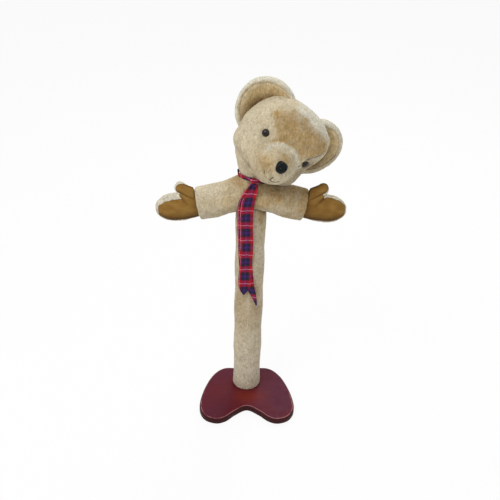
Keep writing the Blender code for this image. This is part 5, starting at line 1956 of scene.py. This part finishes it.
@dataclass
class Neck(Dressed):
    """The plush neck in three pieces, one across each of the neck's joints.

    Its lower piece follows the bend of the lean, a short fold lies above it over the nod's axis,
    and the nape goes up to the head.  All three lie on one form.  Where a piece ends it
    is tucked in and goes on a little way under the next.
    """

    frame: HeadFrame
    bend: float = 0.0345
    root: Table = ((0.024, 0.058, 0.039), (0.011, 0.048, 0.036))
    stretch: Row = (0.033, 0.032, 0.034, 0.046, 0.06)
    flare: Table = (
        (0.017, 0.03, 0.066), (0.022, 0.0295, 0.072), (0.034, 0.0305, 0.083),
        (0.044, 0.031, 0.088),
    )
    seams: Row = (5.45, 7.3)
    tucks: Row = (6.7, 7.75)
    nod: Row = (0.0095, 0.018)
    turn: Row = (0.019, 0.038)
    tuck: float = 0.0014
    wall: float = 0.006
    thin: float = 0.0009
    columns: int = 150

    def spot(self, angle: float) -> Array:
        """The middle of the neck where it has bent by an angle, on a circle of the bend.

        Args:
            angle: how far it has bent there.
        Returns:
            The point.
        """
        rise = self.frame.pivot[2] - self.bend * math.tan(self.frame.lean / 2)
        out = self.bend * (1 - math.cos(angle))
        return np.array([out, 0.0, rise + self.bend * math.sin(angle)])

    def along(self, height: float) -> Array:
        """A place on the head's axis, a height over the lean's axis."""
        axis = np.array([math.sin(self.frame.lean), 0.0, math.cos(self.frame.lean)])
        return np.array(self.frame.pivot) + axis * height

    def rings(self) -> list[Row]:
        """Table of the neck: middle x and z, angle, near and far radius, and flatness.

        Returns:
            One row for each ring, upwards.
        """
        lean = self.frame.lean
        x, _, z = self.spot(0.0)
        rows = [(x, z - under, 0.0, wide, wide, deep / wide) for under, wide, deep in self.root]
        for i, far in enumerate(self.stretch):
            angle = lean * i / (len(self.stretch) - 1)
            x, _, z = self.spot(angle)
            rows.append((x, z, angle, NECK_RADIUS, far, 1.0))
        for height, near, far in self.flare:
            x, _, z = self.along(height)
            rows.append((x, z, lean, near, far, 1.0))
        return rows

    def surface(self, first: float, seam: float, last: float, thick: Row) -> Skin:
        """A wall of rings, wider away from the lean: near + (far - near) ((1 - cos)/2)^power.

        The power is 2 at the root, 3.2 over the nod's axis, where the neck is slim before and
        behind to clear the ribbon, and 1.4 at the head.

        Args:
            first: where it begins, counted in the table's rows.
            seam: where it is tucked in.
            last: where it ends.
            thick: the wall's thickness up to the eighth row and beyond it.
        Returns:
            The wall, painted and ruffled.
        """
        place = np.linspace(first, last, max(12, round(9 * (last - first))) * 2)
        rows = spline(self.rings(), place)
        x, z, angle, near, far, flat = (part[:, None] for part in rows.T)
        turn = full_turn(self.columns)[None]
        power = 2 + 1.2 * ease((place - 4.0) / 1.4) - 1.8 * ease((place - 7.9) / 2.0)
        wall = thick[0] + (thick[1] - thick[0]) * ease((place - 8.0) / 0.8)
        tucked = self.tuck * (ease((place - seam) / 0.12) + 1.8 * ease((place - seam - 0.3) / 0.9))
        sides = []
        for inset in (tucked, tucked + wall):
            share = ((1 - np.cos(turn)) / 2) ** power[:, None]
            radius = near + (far - near) * share - inset[:, None]
            px = x + np.cos(angle) * np.cos(turn) * radius
            py = np.sin(turn) * radius * flat
            pz = z - np.sin(angle) * np.cos(turn) * radius
            sides.append(points_of(px, py, pz))
        skin = Skin.grid(np.concatenate([sides[0], sides[1][::-1]]), looped=True)
        x, _, z = skin.points.T
        low = ease((0.705 - z) / 0.008)
        # painted light on the neck's right side, painted shade on its left under the leaning head
        skin.paint(0.2 + 0.55 * low, 0.2 * ease(-x / 0.04), 0.3 * ease((x + 0.01) / 0.05))
        pile(skin, 33, np.arange(len(skin.points)) < len(skin.points) // 2)
        return skin

    def build(self) -> None:
        """Makes the three pieces and reports the bodies that each one spans."""
        (low, high), top = self.seams, len(self.rings()) - 1.0
        lower = self.surface(0.0, low, self.tucks[0], (self.wall, self.wall))
        fold = self.surface(low, high, self.tucks[1], (self.thin, self.thin))
        nape = self.surface(high, top + 1, top, (self.thin, self.wall - 0.001))
        bend = (self.spot(0.0), self.spot(self.frame.lean))
        nod, turn = ([self.along(height) for height in ends] for ends in (self.nod, self.turn))
        for skin, name, pair, (start, end) in (
            (lower, "neck_plush", (Body.STAND, Body.LINK), bend),
            (fold, "neck_fold_plush", (Body.LINK, Body.PIN), nod),
            (nape, "nape_plush", (Body.PIN, Body.HEAD), turn),
        ):
            made, bodies = skin.make(name, self.finish.plush), [body.value for body in pair]
            if skin is lower:
                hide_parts("neck")
            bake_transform(made)
            LOG.info("%s: %d faces, from %s to %s", name, len(made.data.polygons), *bodies)


@dataclass
class Ribbon(Dressed):
    """The tartan ribbon: a folded turn round the neck, a knot and two tails."""

    line: ArmLine
    frame: HeadFrame
    width: float = 0.034
    thickness: float = 0.0005
    ease_round: float = 0.002
    collar_thick: float = 0.004
    collar_tall: float = 0.011
    collar_rise: float = 0.0095
    collar_drop: float = 0.02
    knot: Row = (0.018, 0.01, 0.015)
    knot_side: float = 0.003
    turn_length: float = 0.225
    gathers: float = 1.12
    pleat: float = 0.0022
    wave: float = 0.0011
    pattern_start: Row = (0.0222, 0.017)
    front: Table = (
        (0.001, -0.0025, -0.04, 0.74), (-0.004, 0.0025, -0.026, 0.86),
        (-0.01, 0.007, -0.004, 0.99), (-0.013, 0.007, 0.03, 1.0),
        (-0.013, 0.009, 0.064, 1.0), (-0.011, 0.0075, 0.106, 1.0),
        (-0.011, 0.0065, 0.15, 1.0), (-0.012, 0.0065, 0.2, 1.0),
        (-0.013, 0.007, 0.248, 0.97), (-0.015, 0.0075, 0.277, 0.09),
    )
    back: Table = (
        (-0.003, -0.0042, -0.04, 0.53), (-0.011, 0.0, -0.026, 0.76),
        (-0.017, 0.0042, -0.004, 0.94), (-0.018, 0.004, 0.03, 1.0),
        (-0.018, 0.006, 0.064, 1.0), (-0.016, 0.0045, 0.106, 1.0),
        (-0.014, 0.0035, 0.15, 1.0), (-0.01, 0.0035, 0.2, 1.0),
        (-0.001, 0.004, 0.245, 0.76), (0.012, 0.0055, 0.282, 0.4),
        (0.02, 0.0065, 0.312, 0.09),
    )

    @property
    def knot_angle(self) -> float:
        """Where the knot sits round the neck."""
        return -math.pi / 2 + self.knot_side / NECK_RADIUS

    def collar_spot(self, angle: Array, out: Array | float = 0.0) -> Array:
        """The folded ribbon's middle round the neck, dipping at the bear's left.

        Args:
            angle: round the neck.
            out: how far out of its middle.
        Returns:
            A point for each angle.
        """
        radius = NECK_RADIUS + self.ease_round + self.collar_thick / 2 + out
        drop = self.collar_drop * ((1 + np.cos(angle)) / 2) ** 2
        drop = drop + 0.002 * ((1 - np.cos(angle)) / 2) ** 4
        z = self.frame.pivot[2] + self.collar_rise - drop
        return points_of(np.cos(angle) * radius, np.sin(angle) * radius, z)

    def cloth(self, name: str, points: Array, uv: Array) -> Object:
        """A thin sheet from a grid of points, thickened both ways.

        Args:
            name: the object's name.
            points: the grid.
            uv: the cloth's own map, in metres.
        Returns:
            The object.
        """
        skin = Skin.grid(points, closed=False)
        skin.uv = uv.reshape(-1, 2)
        made = skin.make(name, self.finish.tartan)
        solid = made.modifiers.new("thickness", "SOLIDIFY")
        solid.thickness = self.thickness
        solid.offset = 0.0
        return made

    def build_collar(self) -> None:
        """The turn round the neck: its width lies in three folds over each other."""
        rounds, folds = 220, 40
        angle = self.knot_angle + np.linspace(0.1, TAU - 0.1, rounds)[:, None]
        share = np.linspace(0, 1, folds)[None]
        phase = share * 3 + 0.15 * np.sin(3 * angle) + 0.1 * np.sin(7 * angle + 1)
        fold = np.abs((phase % 2) - 1) * 2 - 1
        fold = np.sin(fold * math.pi / 2)
        lift = fold * (self.collar_tall / 2 - 0.0008)
        out = (share - 0.5) * -0.003 + 0.0004 * np.sin(11 * angle + 5 * share)
        points = self.collar_spot(angle + 0 * share, out)
        points[..., 2] += lift
        length = (angle - angle[0]) * NECK_RADIUS * self.gathers
        uv = points_of(length, share * self.width)
        made = self.cloth("ribbon_turn", points, uv)
        place_piece(made, Body.STAND, "tartan", "ribbon_collar")

    def build_knot(self) -> None:
        """The knot: a squared ball, creased where the ribbon wraps round itself."""
        directions, quads = cube_sphere(26)
        wide, deep, tall = (size / 2 for size in self.knot)
        power = 2.6
        size = (np.abs(directions) ** power).sum(1) ** (-1 / power)
        local = directions * size[:, None]
        x, _, z = local.T
        crease = 0.1 * np.sin(x * 7 + 2.2 * z) * ease(1.1 - np.abs(z))
        waist = 0.16 * bump_at(z, 0.22) * bump_at(np.abs(x) - 0.9, 0.5)
        local = local * (1 - np.abs(crease) * 0.8 - waist)[:, None]
        points = local * np.array([wide, deep, tall])
        skin = Skin(points + self.collar_spot(np.array(self.knot_angle), deep), quads)
        skin.turn_outwards()
        skin.uv = np.stack([points[:, 2] * 1.1 - 0.004, points[:, 0] * 1.1 + 0.011], 1)
        made = skin.make("ribbon_wrap", self.finish.tartan)
        place_piece(made, Body.STAND, "tartan", "ribbon_knot")

    def tail(self, rows: Table, apart: float, curl: float, seed: int) -> tuple:
        """One hanging tail as a grid of points, its map and its flat area.

        The middle line runs through the table's rows.  Across it the cloth curls by a square
        law, waves slowly, and is pleated by a sine where it is narrower than its cut.

        Args:
            rows: across, clearance, way down and share of the width.
            apart: how far before the knot's middle it starts.
            curl: how far its edges turn back.
            seed: shifts its waves.
        Returns:
            The points, the map, the area and the length.
        """
        under = self.collar_spot(np.array(self.knot_angle), self.knot[1] / 2)
        start = under - np.array([0, -apart, self.knot[2] / 2 + GAP + 0.0005])
        table = [(*start, 0.56)]
        for across, clearance, down, share in rows:
            _, depth, tall = self.line.sections[0]
            behind = depth if down < tall else SLEEVE_RADIUS
            table.append((across, -behind - clearance, self.line.height - down, share))
        x, y, z, share = (part[:, None] for part in evenly(table, 240).T)
        v = np.linspace(-0.5, 0.5, 41)[None]
        width = share * self.width
        along = np.concatenate([[0], np.cumsum(np.hypot(np.diff(z[:, 0]), np.diff(y[:, 0])))])
        top = ease(1 - along / 0.055)[:, None]
        pleats = self.pleat * top * np.sin(v * TAU * 1.6 + seed) * ease((1 - share) / 0.4)
        roll = curl * (2 * v) ** 2 * ease(along / 0.05)[:, None]
        slow = self.wave * np.sin(along[:, None] * 75 + v * 4 + seed) * (0.3 + np.abs(v) * 1.6)
        px = x + v * width
        py = y - pleats - roll + slow
        pz = z + 0.0008 * np.sin(v * 9 + seed) + 0 * width
        points = points_of(px, py, pz)
        end = share < 0.99
        cut = np.where(end & (along[:, None] > 0.1), v * width, v * self.width)
        uv = points_of(along[:, None], cut)
        step = np.gradient(along)
        area = float((np.where(along[:, None] > 0.1, width, self.width)[:, 0] * step).sum())
        return points, uv, area, float(along[-1])

    def build_tails(self) -> None:
        """Both tails, the front one over the back one."""
        for rows, name, apart, curl, seed in (
            (self.front, "front", -0.0007, -0.0012, 1),
            (self.back, "back", 0.0007, 0.001, 4),
        ):
            points, uv, area, length = self.tail(rows, apart, curl, seed)
            uv = uv + np.array(self.pattern_start)
            made = self.cloth(f"ribbon_{name}_cloth", points, uv)
            place_piece(made, Body.STAND, "tartan", f"ribbon_{name}_tail")

    def build(self) -> None:
        """Makes the turn, the knot and the tails."""
        self.build_collar()
        self.build_knot()
        self.build_tails()


# Room


@dataclass
class Studio:
    """A pale floor, plain soft light and the photograph's camera."""

    distance: float = 1.6
    height: float = 1.5
    pitch: float = math.radians(32.44)
    azimuth: float = math.radians(-1.94)
    roll: float = math.radians(1.6)
    focal: float = 720 / 500 * 36.0

    def build(self) -> None:
        """Makes the floor, the lamps and the camera."""
        self.build_floor()
        self.build_light()
        self.build_camera()

    def build_floor(self) -> None:
        """A wide sheet at the floor's height that a camera sees as near white."""
        edge = np.linspace(-6, 6, 13)
        x, y = np.meshgrid(edge, edge, indexing="ij")
        skin = Skin.grid(np.stack([x, y, 0 * x], -1), closed=False)
        g = Graph("floor")
        speck = g.noise(0.3, 2.0)
        colour = g.tint(linear(246, 246, 245), speck, 0.99, 1.01)
        g.finish(base_color=colour, roughness=0.9, specular_ior_level=0.1)
        path = g.node("LightPath")
        glow = g.node("Emission", {0: (1.0, 1.0, 1.0, 1.0), 1: 1.0})
        seen = g.sum("MULTIPLY", path.outputs["Is Camera Ray"], 0.9)
        inputs = {0: seen, 1: g.shader.outputs[0], 2: glow.outputs[0]}
        mixed = g.node("MixShader", inputs)
        output = next(n for n in g.tree.nodes if n.type == "OUTPUT_MATERIAL")
        g.tree.links.new(mixed.outputs[0], output.inputs[0])
        made = skin.make("floor", g.material)

    def build_light(self) -> None:
        """A white sky and two wide lamps."""
        world = bpy.data.worlds.new("sky")
        bpy.context.scene.world = world
        world.use_nodes = True
        tree = world.node_tree
        shade = tree.nodes["Background"]
        path = tree.nodes.new("ShaderNodeLightPath")
        seen = tree.nodes.new("ShaderNodeMath")
        seen.operation = "MAXIMUM"
        tree.links.new(path.outputs["Is Camera Ray"], seen.inputs[0])
        tree.links.new(path.outputs["Is Glossy Ray"], seen.inputs[1])
        level = tree.nodes.new("ShaderNodeMapRange")
        level.inputs[3].default_value = 0.55
        level.inputs[4].default_value = 1.0
        tree.links.new(seen.outputs[0], level.inputs[0])
        tree.links.new(level.outputs[0], shade.inputs["Strength"])
        shade.inputs["Color"].default_value = (1.0, 1.0, 1.0, 1.0)
        for name, place, size, power in (
            ("key", (-1.2, -1.3, 2.8), 1.4, 34.0),
            ("back", (0.7, 1.6, 2.5), 1.2, 26.0),
        ):
            lamp = bpy.data.lights.new(name, "AREA")
            lamp.size = size
            lamp.energy = power
            made = bpy.data.objects.new(name, lamp)
            bpy.context.scene.collection.objects.link(made)
            made.location = place
            aim = Vector((0, 0, 0.5)) - Vector(place)
            made.rotation_euler = aim.to_track_quat("-Z", "Y").to_euler()

    def build_camera(self) -> None:
        """The camera of the photograph, a little left of the bear's front and looking down."""
        lens = bpy.data.cameras.new("camera")
        lens.lens = self.focal
        lens.sensor_width = 36.0
        made = bpy.data.objects.new("camera", lens)
        bpy.context.scene.collection.objects.link(made)
        a = self.azimuth
        made.location = (self.distance * math.sin(a), -self.distance * math.cos(a), self.height)
        view = Matrix.Rotation(a, 4, "Z") @ Matrix.Rotation(math.pi / 2 - self.pitch, 4, "X")
        made.rotation_euler = (view @ Matrix.Rotation(self.roll, 4, "Z")).to_euler()
        bpy.context.scene.camera = made


def dress_hidden(nodes: dict[str, Object], finish: Finishes) -> None:
    """Gives the solids that stay shown their finish.

    Args:
        nodes: the solids by name.
        finish: the finishes.
    """
    for name, material in finish.hidden.items():
        mesh = nodes[name].data
        mesh.materials.clear()
        mesh.materials.append(material)
        mesh.shade_smooth()
        mesh.set_sharp_from_angle(angle=math.radians(40))
        LOG.info("%s: %s", name, material.name)


def main() -> None:
    """Builds the looks of the whole object."""
    logging.basicConfig(level=logging.INFO, format="%(name)s: %(message)s")
    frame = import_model()
    bpy.context.scene.view_settings.view_transform = "Standard"
    Studio().build()
    finish = Finishes.build()
    line = ArmLine()
    head_frame = HeadFrame()
    shape = HeadShape()
    dress_hidden(frame["nodes"], finish)
    for assembly in (
        Board(finish), Sleeve(finish, line), Torso(finish, line), Mitts(finish, line),
        Neck(finish, head_frame), Head(finish, head_frame, shape, Face(shape)),
        Ears(finish, head_frame, shape), Ribbon(finish, line, head_frame),
    ):
        assembly.build()


if __name__ == "__main__":
    main()
